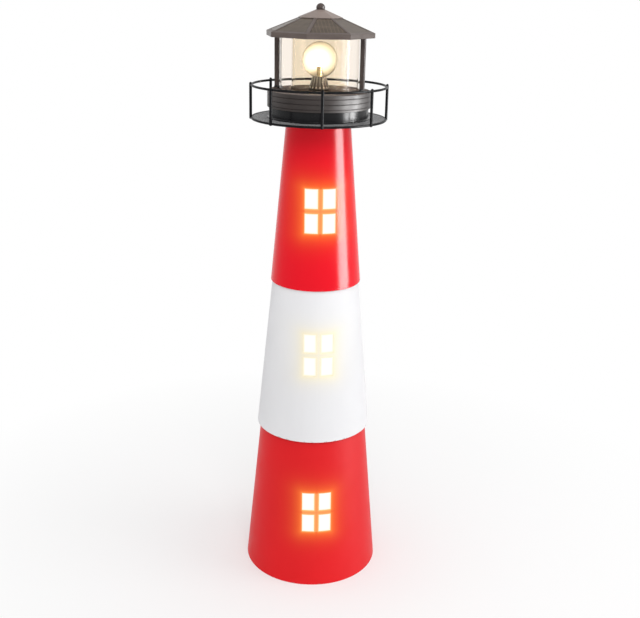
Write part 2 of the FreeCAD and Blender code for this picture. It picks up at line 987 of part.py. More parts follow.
def gear_motor():
    """A round motor can on the tray floor, with a bearing neck on top."""
    radius = size("motor_diameter") / 2
    bore = size("motor_shaft_diameter") / 2 + size("running_fit")
    neck = bore + size("motor_neck") * 2
    foot = tray_inside()
    top = foot + size("motor_length")
    well = foot + size("motor_neck") * 2
    motor = turned_body("Motor", [
        (0, foot), (radius, foot), (radius, top), (neck, top),
        (neck, top + size("motor_neck")), (bore, top + size("motor_neck")),
        (bore, well), (0, well),
    ])
    place_in_head(motor, y=-gear_distance())
    return sub_part(motor, "gear_motor")


def motor_shaft():
    foot = tray_inside() + size("motor_neck") * 2 + size("thrust_gap")
    top = gear_top() + size("pinion_stub")
    shaft = cylinder("MotorShaft", size("motor_shaft_diameter") / 2, top - foot, z=foot)
    place_in_head(shaft, y=-gear_distance(), z=foot)
    return sub_part(shaft, "motor_shaft")


def add_teeth(body, name, teeth):
    """Add one straight-sided tooth, pointing to -Y, and repeat it round the gear."""
    module = size("gear_module")
    pitch_radius = module * teeth / 2
    root = pitch_radius - module * TOOTH_ROOT - module / 2
    tip = pitch_radius + module * TOOTH_TIP
    root_half = module * TOOTH_ROOT_WIDTH / 2
    tip_half = module * TOOTH_TIP_WIDTH / 2
    tooth = [(-root_half, -root), (-tip_half, -tip), (tip_half, -tip), (root_half, -root)]
    sketch = sketch_on(body, "XY_Plane", f"{name}_tooth", [tooth], gear_bottom())
    pad = body.newObject("PartDesign::Pad", f"{name}_tooth_pad")
    pad.Profile = sketch
    bind(pad, "Length", size("gear_thickness"))
    pattern = body.newObject("PartDesign::PolarPattern", f"{name}_teeth")
    pattern.Originals = [pad]
    pattern.Axis = (sketch, ["N_Axis"])
    pattern.Angle = 360
    bind(pattern, "Occurrences", teeth)
    body.Tip = pattern


def gear_root(teeth):
    return size("gear_module") * teeth / 2 - size("gear_module") * TOOTH_ROOT


def driven_gear():
    """The large gear, with a sleeve that runs up through the deck into the hub."""
    bore = size("stem_diameter") / 2 + size("stem_gap")
    body = turned_body("DrivenGear", [
        (bore, gear_bottom()),
        (gear_root(size("gear_teeth")), gear_bottom()),
        (gear_root(size("gear_teeth")), gear_top()),
        (size("gear_hub_radius"), gear_top()),
        (size("gear_hub_radius"), gear_top() + size("gear_hub_rise")),
        (sleeve_radius(), gear_top() + size("gear_hub_rise")),
        (sleeve_radius(), sleeve_top()),
        (bore, sleeve_top()),
    ])
    add_teeth(body, "DrivenGear", size("gear_teeth"))
    place_in_head(body)
    return sub_part(body, "driven_gear")


def motor_pinion():
    """The small gear on the motor shaft, turned so that a gap faces the large gear."""
    bore = size("motor_shaft_diameter") / 2
    teeth = size("pinion_teeth")
    body = turned_body("Pinion", tube_outline(bore, gear_root(teeth), gear_bottom(), gear_top()))
    add_teeth(body, "Pinion", teeth)
    place_in_head(body, y=-gear_distance(), angle=180 + 180 / teeth)
    return sub_part(body, "motor_pinion")


def sleeve_top():
    return deck_top() + size("thrust_gap") + size("hub_radius")


def hub_top():
    return lamp_height() - size("reflector_radius") + size("hub_seat")


def bowl_curve(depth):
    """Points of the reflector's parabola, from its back to its rim, pushed back by depth."""
    focus = size("reflector_focus")
    for step in range(BOWL_STEPS + 1):
        radius = size("reflector_radius") * (step / BOWL_STEPS)
        yield radius * radius / (focus * 4) - focus - depth, radius


def dish_form(name, filled):
    """A paraboloid bowl that opens to -Y, with the lamp at its focus."""
    outline = list(bowl_curve(size("reflector_wall")))
    inner = list(bowl_curve(0))
    if filled:
        outline += [inner[-1], (inner[-1][0], 0)]
    else:
        outline += reversed(inner)
    body = turned_body(name, outline, axis="H_Axis")
    place(body, z=lamp_height(), angle=-90)
    return body


def reflector():
    """The polished bowl, slotted at the bottom where it turns round the lamp stem."""
    bowl = dish_form("ReflectorBowl", filled=False)
    bore = size("stem_diameter") / 2 + size("stem_gap") * 2
    slot = cylinder("ReflectorSlot", bore, size("reflector_radius") + size("hub_seat"),
                    z=hub_top() - size("hub_seat") * 2)
    dish = cut("ReflectorSlotted", bowl, slot)
    place_in_head(dish)
    return sub_part(dish, "reflector_dish")


def turntable_hub():
    """The hub above the deck: a low rim and a cone, hollowed to seat the reflector."""
    bore = size("stem_diameter") / 2 + size("stem_gap")
    foot = deck_top() + size("thrust_gap")
    radius = size("hub_radius")
    outline = [(sleeve_radius(), foot), (radius, foot), (radius, foot + size("hub_rim"))]
    outline += softened_edge(size("hub_top_radius"), hub_top())
    outline += [(bore, hub_top()), (bore, sleeve_top()), (sleeve_radius(), sleeve_top())]
    blank = turned_body("Hub", outline)
    envelope = dish_form("ReflectorEnvelope", filled=True)
    hub = cut("HubSeated", blank, envelope)
    place_in_head(hub)
    return sub_part(hub, "turntable_hub")


def lamp_stem():
    """The fixed tube up the middle that carries the lamp and its two leads."""
    foot = tray_inside()
    top = lamp_height() - size("led_body")
    stem = cylinder("LampStem", size("stem_diameter") / 2, top - foot)
    place_in_head(stem, z=foot)
    return sub_part(stem, "lamp_stem")


def dome_lamp(name, radius, body_length, level, up):
    """A round-nosed lamp: a short body, and a dome beyond it."""
    if up:
        outline = [(0, level), (radius, level), (radius, level + body_length),
                   (0, level + body_length + radius, radius)]
    else:
        outline = [(0, level - body_length - radius), (radius, level - body_length, radius),
                   (radius, level), (0, level)]
    lamp = turned_body(name, outline)
    place_in_head(lamp)
    return lamp


def lamps():
    radius = size("led_diameter") / 2
    beacon = dome_lamp("Beacon", radius, size("led_body"), lamp_height() - size("led_body"), True)
    sub_part(beacon, "beacon_led")
    tower = dome_lamp("TowerLamp", radius, size("led_body") / 2, tray_underside(), False)
    sub_part(tower, "tower_led")


# Switch ------------------------------------------------------------------------

def switch_body():
    """The switch housing on the tray floor, hollow below for its slider."""
    y = size("switch_y")
    block = box("SwitchBlock", size("switch_length"), size("switch_width"),
                size("switch_rise"), 0, y, tray_inside())
    gap = size("slider_gap") * 2
    flange = size("slider_flange") * 2
    cavity = box(
        "SwitchCavity",
        size("slider_length") + flange + size("slider_travel") + gap,
        size("slider_width") + flange / 2 + gap,
        size("slider_flange_thickness") + gap,
        0, y, tray_inside(),
    )
    housing = cut("SwitchHousing", block, cavity)
    place_in_head(housing)
    return sub_part(housing, "switch_body")


def switch_slider():
    """The knob below the tray, held by a flange inside the switch, at its off end."""
    x = size("slider_travel") / -2
    y = size("switch_y")
    drop = size("slider_drop")
    foot = tray_underside() - drop
    stem = size("tray_floor") + drop + size("slider_gap")
    flange = size("slider_flange") * 2
    slider = fuse(
        "Slider",
        box("SliderKnob", size("slider_length"), size("slider_width"), stem, x, y, foot),
        box("SliderFlange", size("slider_length") + flange, size("slider_width") + flange / 2,
            size("slider_flange_thickness"), x, y, foot + stem),
    )
    place_in_head(slider)
    return sub_part(slider, "switch_slider")


# Lens tubes, posts and roof ----------------------------------------------------------

def lens_tubes():
    for name, label, radius in (
        ("OuterLens", "outer_lens_tube", size("outer_lens_radius")),
        ("InnerLens", "inner_lens_tube", size("inner_lens_radius")),
    ):
        tube = turned_body(name, tube_outline(radius - size("lens_wall"), radius,
                                              deck_top(), roof_base()))
        sub_part(tube, label)


def lantern_posts():
    """Two tapered posts, each with a pad at its foot, screwed to the deck."""
    half_foot = size("post_foot_width") / 2
    half_top = size("post_top_width") / 2
    half_pad = size("post_pad_length") / 2
    pad_top = deck_top() + size("post_pad_thickness")
    outline = [
        (-half_pad, deck_top()), (half_pad, deck_top()), (half_pad, pad_top),
        (half_foot, pad_top), (half_top, roof_base()), (-half_top, roof_base()),
        (-half_foot, pad_top), (-half_pad, pad_top),
    ]
    hole = size("post_screw_diameter") / 2 + size("screw_hole_gap")
    for side, angle in post_places():
        name = f"Post_{side}"
        body = padded_body(name, outline, size("post_depth"), role="XZ_Plane", midplane=True)
        holes = [
            cylinder(f"{name}Hole{index}", hole, size("post_pad_thickness"),
                     size("post_screw_offset") * sign, 0, deck_top())
            for index, sign in enumerate((-1, 1))
        ]
        post = cut(f"{name}_drilled", body, *holes)
        radius = post_radius()
        place_in_head(post, radius * cosine(angle), radius * sine(angle), angle=angle - 90)
        sub_part(post, f"lantern_post_{side}")


def post_screws():
    seat = deck_top() + size("post_pad_thickness")
    length = size("post_pad_thickness") + size("deck_thickness")
    pieces = [
        screw(f"PostScrew{name}", x, y, seat, size("post_screw_diameter"), length, up=False)
        for name, x, y in post_screw_places()
    ]
    screws = fuse("PostScrews", *pieces)
    place_in_head(screws)
    return sub_part(screws, "post_screws")


def roof_form(name, drop=0, inset=0):
    """The roof's outer form, lowered by drop and narrowed by inset at the eave.

    An eight-sided block has its slope cut away on one side, and the cut is
    repeated round it.
    """
    half_side = 180 / size("roof_sides")
    radius = size("roof_radius") - inset
    count = int(number(size("roof_sides")))
    plan = []
    for index in range(count):
        corner = half_side * (index * 2 + 1)
        plan.append((radius * cosine(corner), radius * sine(corner)))
    top = roof_flat() - drop
    body = padded_body(name, plan, top - roof_base(), level=roof_base())
    reach = radius * cosine(half_side)
    crest = size("roof_flat_radius") * cosine(half_side)
    slope = size("roof_slope") / cosine(half_side)
    spare = size("roof_wall")
    rise = top + spare * slope
    wedge = [
        (-reach - spare, top - (reach - crest + spare) * slope),
        (-crest + spare, rise),
        (-reach - spare, rise),
    ]
    sketch = sketch_on(body, "YZ_Plane", f"{name}_slope", [wedge])
    pocket = body.newObject("PartDesign::Pocket", f"{name}_cut")
    pocket.Profile = sketch
    pocket.Midplane = True
    bind(pocket, "Length", radius * 2)
    pattern = body.newObject("PartDesign::PolarPattern", f"{name}_slopes")
    pattern.Originals = [pocket]
    pattern.Axis = (body.Origin.OriginFeatures[2], [""])
    pattern.Angle = 360
    bind(pattern, "Occurrences", size("roof_sides"))
    body.Tip = pattern
    return body


def panel_prism(name, index, margin):
    """A wedge in plan, over one face of the roof, between its hips, cap and eave."""
    half_side = 180 / size("roof_sides")
    near = size("cap_radius") * cosine(half_side) + margin
    far = size("roof_radius") * cosine(half_side) - size("eave_width") - margin
    hip = (size("hip_width") / 2 + margin) / cosine(half_side)
    near_half = near * tangent(half_side) - hip
    far_half = far * tangent(half_side) - hip
    prism = padded_body(name, [
        (-near_half, -near), (-far_half, -far), (far_half, -far), (near_half, -near),
    ], roof_flat() - roof_base(), level=roof_base())
    place(prism, angle=index * 360 / size("roof_sides"))
    return prism


def roof(outer):
    """The hollow roof shell with a recess on each face, and a solar cell in each."""
    count = int(number(size("roof_sides")))
    recess = size("cell_recess")
    lowered = roof_form("RoofLowered", drop=recess)
    windows = [panel_prism(f"Recess{index}", index, 0) for index in range(count)]
    shell = cut(
        "RoofShell",
        outer,
        roof_form("RoofHollow", drop=size("roof_wall"), inset=size("fascia_wall")),
        cut("RoofRecesses", fuse("RoofWedges", *windows), lowered),
    )
    place_in_head(shell)
    sub_part(shell, "roof_shell")
    layer = cut(
        "CellLayer",
        roof_form("CellTop", drop=recess - size("solar_cell_thickness")),
        lowered,
    )
    for index in range(count):
        wedge = panel_prism(f"CellWedge{index}", index, size("solar_cell_gap"))
        cell = common(f"Cell{index}", layer, wedge)
        place_in_head(cell)
        sub_part(cell, f"solar_cell_{index + 1}")


def roof_ceiling():
    ceiling = octagon_prism("Ceiling", size("roof_radius") - size("fascia_wall"), roof_base(),
                            size("ceiling_thickness"))
    place_in_head(ceiling, z=roof_base(), angle=180 / size("roof_sides"))
    return sub_part(ceiling, "roof_ceiling")


def roof_cap(outer):
    """The raised cap over the middle of the roof."""
    raised = common(
        "CapRaised",
        roof_form("CapForm", drop=-size("cap_thickness")),
        octagon_prism("CapEdge", size("cap_radius"), roof_base(), roof_flat() - roof_base()
                      + size("cap_thickness")),
    )
    cap = cut("Cap", raised, outer)
    place_in_head(cap)
    return sub_part(cap, "roof_cap")


def finial():
    """The ball on top, with a flat where it sits on the cap."""
    ball = doc.addObject("Part::Sphere", "Finial")
    bind(ball, "Radius", size("finial_radius"))
    flat = size("finial_level") / size("finial_radius")
    angle = Size(-math.degrees(math.asin(flat.number)), f"(-1 * asin({flat.text}))")
    bind(ball, "Angle1", angle)
    place(ball, z=roof_flat() + size("cap_thickness") + size("finial_level"))
    return sub_part(ball, "finial")


# Build, check and write ------------------------------------------------------------

def build():
    fill_sheet()
    lower_section()
    middle_section()
    upper_section()
    window_films()
    low_ring, high_ring = rail_rings()
    gallery_plate(low_ring)
    gallery_screws()
    rail_stanchions(low_ring, high_ring)
    lantern_collar()
    lantern_base()
    works_tray()
    tray_screws()
    battery_cell()
    battery_contacts()
    battery_cover()
    circuit_board()
    gear_motor()
    motor_shaft()
    motor_pinion()
    driven_gear()
    turntable_hub()
    reflector()
    lamp_stem()
    lamps()
    switch_body()
    switch_slider()
    lens_tubes()
    lantern_posts()
    post_screws()
    roof_outer = roof_form("RoofOuter")
    roof(roof_outer)
    roof_ceiling()
    roof_cap(roof_outer)
    finial()
    doc.recompute()


def check():
    """Stop if any object failed, or if any sub-part has no sound solid."""
    for item in doc.Objects:
        if "Invalid" in item.State or "Error" in item.State:
            raise RuntimeError(f"{item.Name} ({item.Label}) failed: {item.State}")
    for item in sub_parts:
        shape = item.Shape
        if shape.isNull() or not shape.isValid() or not shape.Solids or shape.Volume <= 0:
            raise RuntimeError(f"{item.Label} has no sound solid")


def write():
    os.makedirs("parts", exist_ok=True)
    for item in sub_parts:
        item.Shape.exportStep(f"parts/{item.Label}.step")


build()
check()
write()
print(len(sub_parts), "sub-parts written")
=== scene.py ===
"""A garden lighthouse ornament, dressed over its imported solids.

Lengths are in metres in the frame of the solids: +Z up the tower, the origin
at the centre of the foot, and the windows facing -Y.
"""

import math

import bmesh
import bpy
from bpy.props import FloatProperty, FloatVectorProperty, PointerProperty
from bpy.types import Operator, Panel, PropertyGroup
from mathutils import Matrix, Vector


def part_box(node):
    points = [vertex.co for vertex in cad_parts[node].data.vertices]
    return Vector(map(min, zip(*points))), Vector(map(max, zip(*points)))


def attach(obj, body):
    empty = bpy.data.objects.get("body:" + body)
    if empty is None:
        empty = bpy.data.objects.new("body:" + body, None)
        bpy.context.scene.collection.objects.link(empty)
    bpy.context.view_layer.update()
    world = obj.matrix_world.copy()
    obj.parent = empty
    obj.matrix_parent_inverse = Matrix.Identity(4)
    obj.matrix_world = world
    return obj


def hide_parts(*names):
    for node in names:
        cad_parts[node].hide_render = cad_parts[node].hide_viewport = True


bl_info = {
    "name": "Garden lighthouse",
    "version": (1, 0, 0),
    "blender": (4, 5, 0),
    "location": "3D View > Sidebar > Lighthouse",
    "description": "Builds the visual model of a garden lighthouse ornament",
    "category": "Object",
}

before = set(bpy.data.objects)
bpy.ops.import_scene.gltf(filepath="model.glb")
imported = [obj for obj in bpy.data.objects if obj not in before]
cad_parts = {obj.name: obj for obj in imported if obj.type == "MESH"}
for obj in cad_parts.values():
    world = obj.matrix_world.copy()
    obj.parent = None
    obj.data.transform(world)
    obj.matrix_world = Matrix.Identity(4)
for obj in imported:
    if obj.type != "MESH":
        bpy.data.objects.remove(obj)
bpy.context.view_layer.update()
MM = 0.001
WALL = 0.8 * MM
ROUND_STEPS = 192
HEAD_TURN = math.radians(4)
STANCHIONS = 8
ROOF_SIDES = 8
HUB_FLUTES = 16
BOWL_FOCUS = 7 * MM
BOWL_RIM = 16 * MM
BLACK = (0, 0, 0)
WHITE = (1, 1, 1)

# Roughness and specular level of each section's paint.
PAINT_GLOSS = {"lower": (0.4, 0.09), "middle": (0.42, 0.015), "upper": (0.2, 0.12)}
# Where the seam down the back starts over a section's foot and ends under its top.
SEAM_START = 9 * MM
SEAM_END = {"lower": 26 * MM, "middle": 26 * MM, "upper": 4 * MM}


# ---- Settings ----

def number(name, description, default, **options):
    return FloatProperty(name=name, description=description, default=default, **options)


def length(name, description, default):
    return number(name, description, default, min=0, precision=5, subtype="DISTANCE",
                  unit="LENGTH")


def power(name, description, default):
    return number(name, description, default, min=0, subtype="POWER", unit="POWER")


def turning(name, description, degrees):
    return number(name, description, math.radians(degrees), subtype="ANGLE", unit="ROTATION")


def colour(name, description, default):
    return FloatVectorProperty(name=name, description=description, default=default,
                               size=3, min=0, max=1, subtype="COLOR")


class TowerSettings(PropertyGroup):
    """Sizes and colours of the three tower sections."""

    lower_taper: number("Lower taper", "Radius lost per metre, bottom section", 0.0948, min=0)
    middle_taper: number("Middle taper", "Radius lost per metre, middle section", 0.096, min=0)
    upper_taper: number("Upper taper", "Radius lost per metre, top section", 0.0883, min=0)
    foot_lip: length("Foot lip", "Width of the turned-in edge the tower stands on", 6 * MM)
    lower_bead: length("Lower bead", "Radius of the bottom section's rolled edge", 2.63 * MM)
    middle_bead: length("Middle bead", "Radius of the middle section's rolled edge", 0.885 * MM)
    flange_hole: length("Flange hole", "Radius of the hole in the top flange", 22.8 * MM)
    pane_width: length("Pane width", "Width of one window pane", 12 * MM)
    pane_height: length("Pane height", "Height of one window pane", 18.2 * MM)
    bar: length("Window bar", "Width of the metal left between two panes", 4.5 * MM)
    lower_window: length("Lower window", "Height of the bottom window's centre", 78.6 * MM)
    middle_window: length("Middle window", "Height of the middle window's centre", 241.7 * MM)
    upper_window: length("Upper window", "Height of the top window's centre", 378.7 * MM)
    upper_red: colour("Upper red", "Gloss paint of the top section", (0.78, 0.004, 0.015))
    lower_red: colour("Lower red", "Satin paint of the bottom section", (0.72, 0.014, 0.018))
    white: colour("White", "Paint of the middle section", (0.79, 0.79, 0.805))


class GlowSettings(PropertyGroup):
    """Light that the lamps put on the films, paint and reflector."""

    film: colour("Window light", "Light in the middle of a pane", (1.0, 1.0, 0.97))
    film_edge: colour("Pane edge light", "Light at a pane's edges", (0.97, 0.88, 0.66))
    film_strength: number("Window strength", "Strength of the films", 1.0, min=0)
    rim_reach: length("Rim reach", "How far the bright rim of a pane spreads", 0.8 * MM)
    halo_reach: length("Halo reach", "How far a window's glow spreads", 6.4 * MM)
    red_rim: colour("Rim on red", "Light close to a pane on red paint", (0.1, 0.2, 0.08))
    red_halo: colour("Halo on red", "Light further out on red paint", (0.27, 0.19, 0.014))
    red_bars: colour("Bars on red", "Light on the bars of a red section", (0.05, 0.17, 0.07))
    white_rim: colour("Rim on white", "Light close to a pane on white paint", (0.01, 0.008, 0))
    white_halo: colour("Halo on white", "Light further out on white paint", (0.05, 0.03, 0))
    # Painted window glow: the white paint's colour close to a window, warmed as if lit by it.
    white_window_glow: colour("Warmth on white", "White paint by the window", (0.85, 0.79, 0.6))
    lamp: colour("Lamp light", "Light of the lamp in the lantern", (1.0, 0.9, 0.72))
    lamp_strength: number("Lamp strength", "Strength of the two lamps", 4, min=0)
    bowl_strength: number("Bowl strength", "Strength of the lit bowl", 1.5, min=0)
    hub_strength: number("Hub strength", "Strength of the light on the hub", 0.8, min=0)


class GallerySettings(PropertyGroup):
    """Sizes and colours of the gallery rail, floor and collar."""

    wire: length("Ring wire", "Thickness of the two rail rings", 2.2 * MM)
    post_wire: length("Stanchion wire", "Thickness of the stanchions", 2.6 * MM)
    collar_lip: length("Collar lip", "How far the collar's foot stands out", 1.6 * MM)
    weld: length("Weld", "Radius of the weld beads", 1.45 * MM)
    weld_inset: length("Weld inset", "How far a weld lies inside its stanchion", 0.9 * MM)
    wire_black: colour("Wire black", "Paint on the rail", (0.008, 0.008, 0.009))
    collar_black: colour("Collar black", "Gloss paint on the collar", (0.005, 0.005, 0.006))
    floor_dark: colour("Floor dark", "Darker grain of the floor", (0.07, 0.07, 0.073))
    floor_pale: colour("Floor pale", "Paler grain of the floor", (0.5, 0.5, 0.505))


class LanternSettings(PropertyGroup):
    """Sizes and colours of the lantern head."""

    groove_depth: length("Groove depth", "Depth of the grooves round the skirt", 0.5 * MM)
    groove_width: length("Groove width", "Width of the grooves round the skirt", 0.8 * MM)
    groove_pitch: length("Groove pitch", "Distance between two grooves", 4.5 * MM)
    tube_wall: length("Tube wall", "Thickness of the clear tubes", 1.2 * MM)
    edge: length("Edge", "Rounding of the deck's edge", 0.9 * MM)
    roof_corner: length("Roof corner", "Radius of the roof at its corners", 50.3 * MM)
    roof_slope: number("Roof slope", "Height gained for each metre inwards", 0.399, min=0)
    cap_corner: length("Cap corner", "Radius of the roof cap at its corners", 20.5 * MM)
    peak: length("Peak", "Radius of the flat under the ball", 4.4 * MM)
    ball: length("Ball", "Radius of the ball on the roof", 4 * MM)
    plastic: colour("Plastic", "Moulded plastic of the base", (0.028, 0.021, 0.019))
    # The top of the same moulding as the base, given a paler tone: painted light on its upward
    # faces.
    deck: colour("Deck", "Matt top of the base", (0.18, 0.15, 0.135))
    posts: colour("Posts", "Moulded plastic of the posts", (0.068, 0.052, 0.047))
    roof: colour("Roof", "Moulded plastic of the roof", (0.1, 0.079, 0.071))
    cap: colour("Cap", "Moulded plastic of the roof cap", (0.22, 0.175, 0.155))
    solar: colour("Solar film", "Solar film in the roof", (0.095, 0.068, 0.047))
    outer_tint: colour("Outer tint", "What the outer tube lets through", (0.985, 0.94, 0.89))
    inner_tint: colour("Inner tint", "What the inner tube lets through", (0.925, 0.885, 0.8))


class StageSettings(PropertyGroup):
    """Floor, lights and camera."""

    floor: colour("Floor", "Colour of the floor", (0.88, 0.88, 0.88))
    ambient: number("Ambient", "Level of the light from all round", 0.79, min=0)
    key: power("Key light", "Power of the soft light on the right", 5.6)
    fill: power("Fill light", "Power of the broad light in front", 11)
    gloss: power("Gloss light", "Power of the strip that only shows in gloss", 110)
    camera_distance: length("Camera distance", "Level distance from the tower's axis", 0.888)
    camera_height: length("Camera height", "Height of the camera", 0.578)
    camera_pitch: turning("Camera pitch", "How far the camera looks down", 19.0)
    camera_side: turning("Camera side", "How far round it stands", -5.5)
    camera_roll: turning("Camera roll", "How far the camera leans", 1.2)
    camera_shift: number("Camera offset", "Sideways offset", 5.0 * MM, subtype="DISTANCE",
                         unit="LENGTH")
    focal: number("Focal length", "Focal length for a 36 mm sensor", 53.55, min=1,
                  subtype="DISTANCE_CAMERA", unit="CAMERA")


# ---- Shapes ----

def level(node, top=True):
    """Height of a solid's top or bottom."""
    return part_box(node)[1 if top else 0].z


def reach(node):
    """How far a solid reaches along +X."""
    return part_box(node)[1].x


def arc(centre, radius, start, stop, steps=6):
    """Outline points along an arc, with the angles in degrees."""
    for step in range(steps + 1):
        angle = math.radians(start + (stop - start) * step / steps)
        yield centre[0] + radius * math.cos(angle), centre[1] + radius * math.sin(angle)


def face_outwards(bm):
    bmesh.ops.recalc_face_normals(bm, faces=bm.faces)


def turn_mesh(bm, angle, axis="Z"):
    bmesh.ops.rotate(bm, verts=bm.verts, cent=(0, 0, 0), matrix=Matrix.Rotation(angle, 3, axis))


def move_mesh(bm, x, y, z):
    bmesh.ops.translate(bm, verts=bm.verts, vec=(x, y, z))


def block(x, y, z):
    """A box round the origin."""
    bm = bmesh.new()
    bmesh.ops.create_cube(bm, size=1)
    bmesh.ops.scale(bm, vec=(x, y, z), verts=bm.verts)
    return bm


def revolve(outline, steps=ROUND_STEPS, first=0.0):
    """Turn a closed outline of (radius, height) points round Z."""
    bm = bmesh.new()
    verts = [bm.verts.new((radius, 0, height)) for radius, height in outline]
    for index, vert in enumerate(verts):
        if vert.co.x > 0 or verts[index - 1].co.x > 0:
            bm.edges.new((verts[index - 1], vert))
    turn_mesh(bm, first)
    bmesh.ops.spin(bm, geom=bm.verts[:] + bm.edges[:], cent=(0, 0, 0), axis=(0, 0, 1),
                   angle=math.tau, steps=steps, use_merge=True)
    bmesh.ops.remove_doubles(bm, verts=bm.verts, dist=1e-6)
    bmesh.ops.dissolve_degenerate(bm, edges=bm.edges, dist=1e-7)
    face_outwards(bm)
    return bm


def soften(bm, width, segments=2, turn=30, among=None):
    """Round the edges at which the surface turns by more than so many degrees."""
    limit = math.radians(turn)
    edges = [edge for edge in (among or bm.edges)
             if len(edge.link_faces) == 2 and edge.calc_face_angle(0) > limit]
    bmesh.ops.bevel(bm, geom=edges, offset=width, offset_type="OFFSET", segments=segments,
                    profile=0.5, affect="EDGES", clamp_overlap=True, material=-1)


def finished(bm, name):
    """Make a mesh datablock, and free the mesh that was built."""
    mesh = bpy.data.meshes.new(name)
    bm.to_mesh(mesh)
    bm.free()
    return mesh


def join(*parts):
    """Gather several meshes into the first one."""
    whole = parts[0]
    for part in parts[1:]:
        mesh = finished(part, "part")
        whole.from_mesh(mesh)
        bpy.data.meshes.remove(mesh)
    return whole


def link(name, data):
    """Put a new object into the scene."""
    item = bpy.data.objects.new(name, data)
    bpy.context.scene.collection.objects.link(item)
    return item


def level_normals(item):
    """Let the large faces of a piece set its shading, and not its narrow roundings."""
    modifier = item.modifiers.new("level normals", "WEIGHTED_NORMAL")
    modifier.mode = "FACE_AREA"
    modifier.keep_sharp = True


def piece(bm, name, body, finish, replaces=(), crisp=28):
    """Make a finished mesh into a named piece that rides on a body."""
    mesh = finished(bm, name)
    mesh.shade_smooth()
    mesh.set_sharp_from_angle(angle=math.radians(crisp))
    mesh.materials.append(finish)
    item = link(name, mesh)
    level_normals(item)
    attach(item, body)
    if replaces:
        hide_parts(*replaces)
    return item


def carve(item, cutter):
    """Cut a mesh out of a piece, and keep the result as the piece's own mesh."""
    tool = link("cutter", finished(cutter, "cutter"))
    item.modifiers.clear()
    modifier = item.modifiers.new("cut", "BOOLEAN")
    modifier.object = tool
    modifier.operation = "DIFFERENCE"
    modifier.solver = "EXACT"
    graph = bpy.context.evaluated_depsgraph_get()
    carved = bpy.data.meshes.new_from_object(item.evaluated_get(graph))
    if not carved.polygons:
        raise RuntimeError(f"nothing is left of {item.name}")
    item.modifiers.clear()
    item.data = carved
    level_normals(item)
    bpy.data.objects.remove(tool)


def dress(node, finish):
    """Give a solid that stays in view its material."""
    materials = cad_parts[node].data.materials
    materials.clear()
    materials.append(finish)


# ---- Materials ----

class Value:
    """One socket of a material. Arithmetic on it adds Math nodes."""

    def __init__(self, nodes, socket):
        self.nodes = nodes
        self.socket = socket

    def reckon(self, operation, *operands):
        return self.nodes.node("ShaderNodeMath", dict(enumerate(operands)),
                               operation=operation)["Value"]

    def math(self, operation, *others):
        return self.reckon(operation, self, *others)

    def size(self):
        return self.math("ABSOLUTE")

    def at_least(self, other):
        return self.math("MAXIMUM", other)

    def span(self, low, high, to_low=0.0, to_high=1.0):
        """The value moved from one range to another, and held inside it."""
        return self.nodes.node("ShaderNodeMapRange", {
            "Value": self, "From Min": low, "From Max": high,
            "To Min": to_low, "To Max": to_high})["Result"]

    def spread(self, to_low=0.0, to_high=1.0):
        """Noise, which keeps near its middle, drawn out over a whole range."""
        return self.span(0.3, 0.7, to_low, to_high)


def overload(name, operation):
    """Give Value one arithmetic operator, with its reflected form."""
    setattr(Value, f"__{name}__", lambda self, other: self.reckon(operation, self, other))
    setattr(Value, f"__r{name}__", lambda self, other: self.reckon(operation, other, self))


for operator_name, node_operation in (("add", "ADD"), ("sub", "SUBTRACT"), ("mul", "MULTIPLY"),
                                      ("truediv", "DIVIDE"), ("pow", "POWER")):
    overload(operator_name, node_operation)


class Made:
    """A node that has been added, whose outputs are read by name or number."""

    def __init__(self, nodes, node):
        self.nodes = nodes
        self.node = node

    def __getitem__(self, name):
        return Value(self.nodes, self.node.outputs[name])


class Nodes:
    """The nodes of a material or of the world."""

    def __init__(self, owner):
        owner.use_nodes = True
        self.tree = owner.node_tree

    def node(self, kind, values=(), **settings):
        """Add a node of any type: its settings first, and then its sockets."""
        made = self.tree.nodes.new(kind)
        for setting, value in settings.items():
            setattr(made, setting, value)
        self.fill(made, values)
        return Made(self, made)

    def fill(self, node, values):
        """Set or link a node's sockets."""
        for name, value in dict(values).items():
            socket = node.inputs[name]
            if isinstance(value, Value):
                self.tree.links.new(value.socket, socket)
            elif socket.type == "RGBA" and len(value) == 3:
                socket.default_value = (*value, 1)
            else:
                socket.default_value = value

    def seen(self):
        """1 for what the camera, a glossy surface or a clear one shows, and else 0."""
        path = self.node("ShaderNodeLightPath")
        shown = path["Is Camera Ray"].at_least(path["Is Glossy Ray"])
        return shown.at_least(path["Is Transmission Ray"])


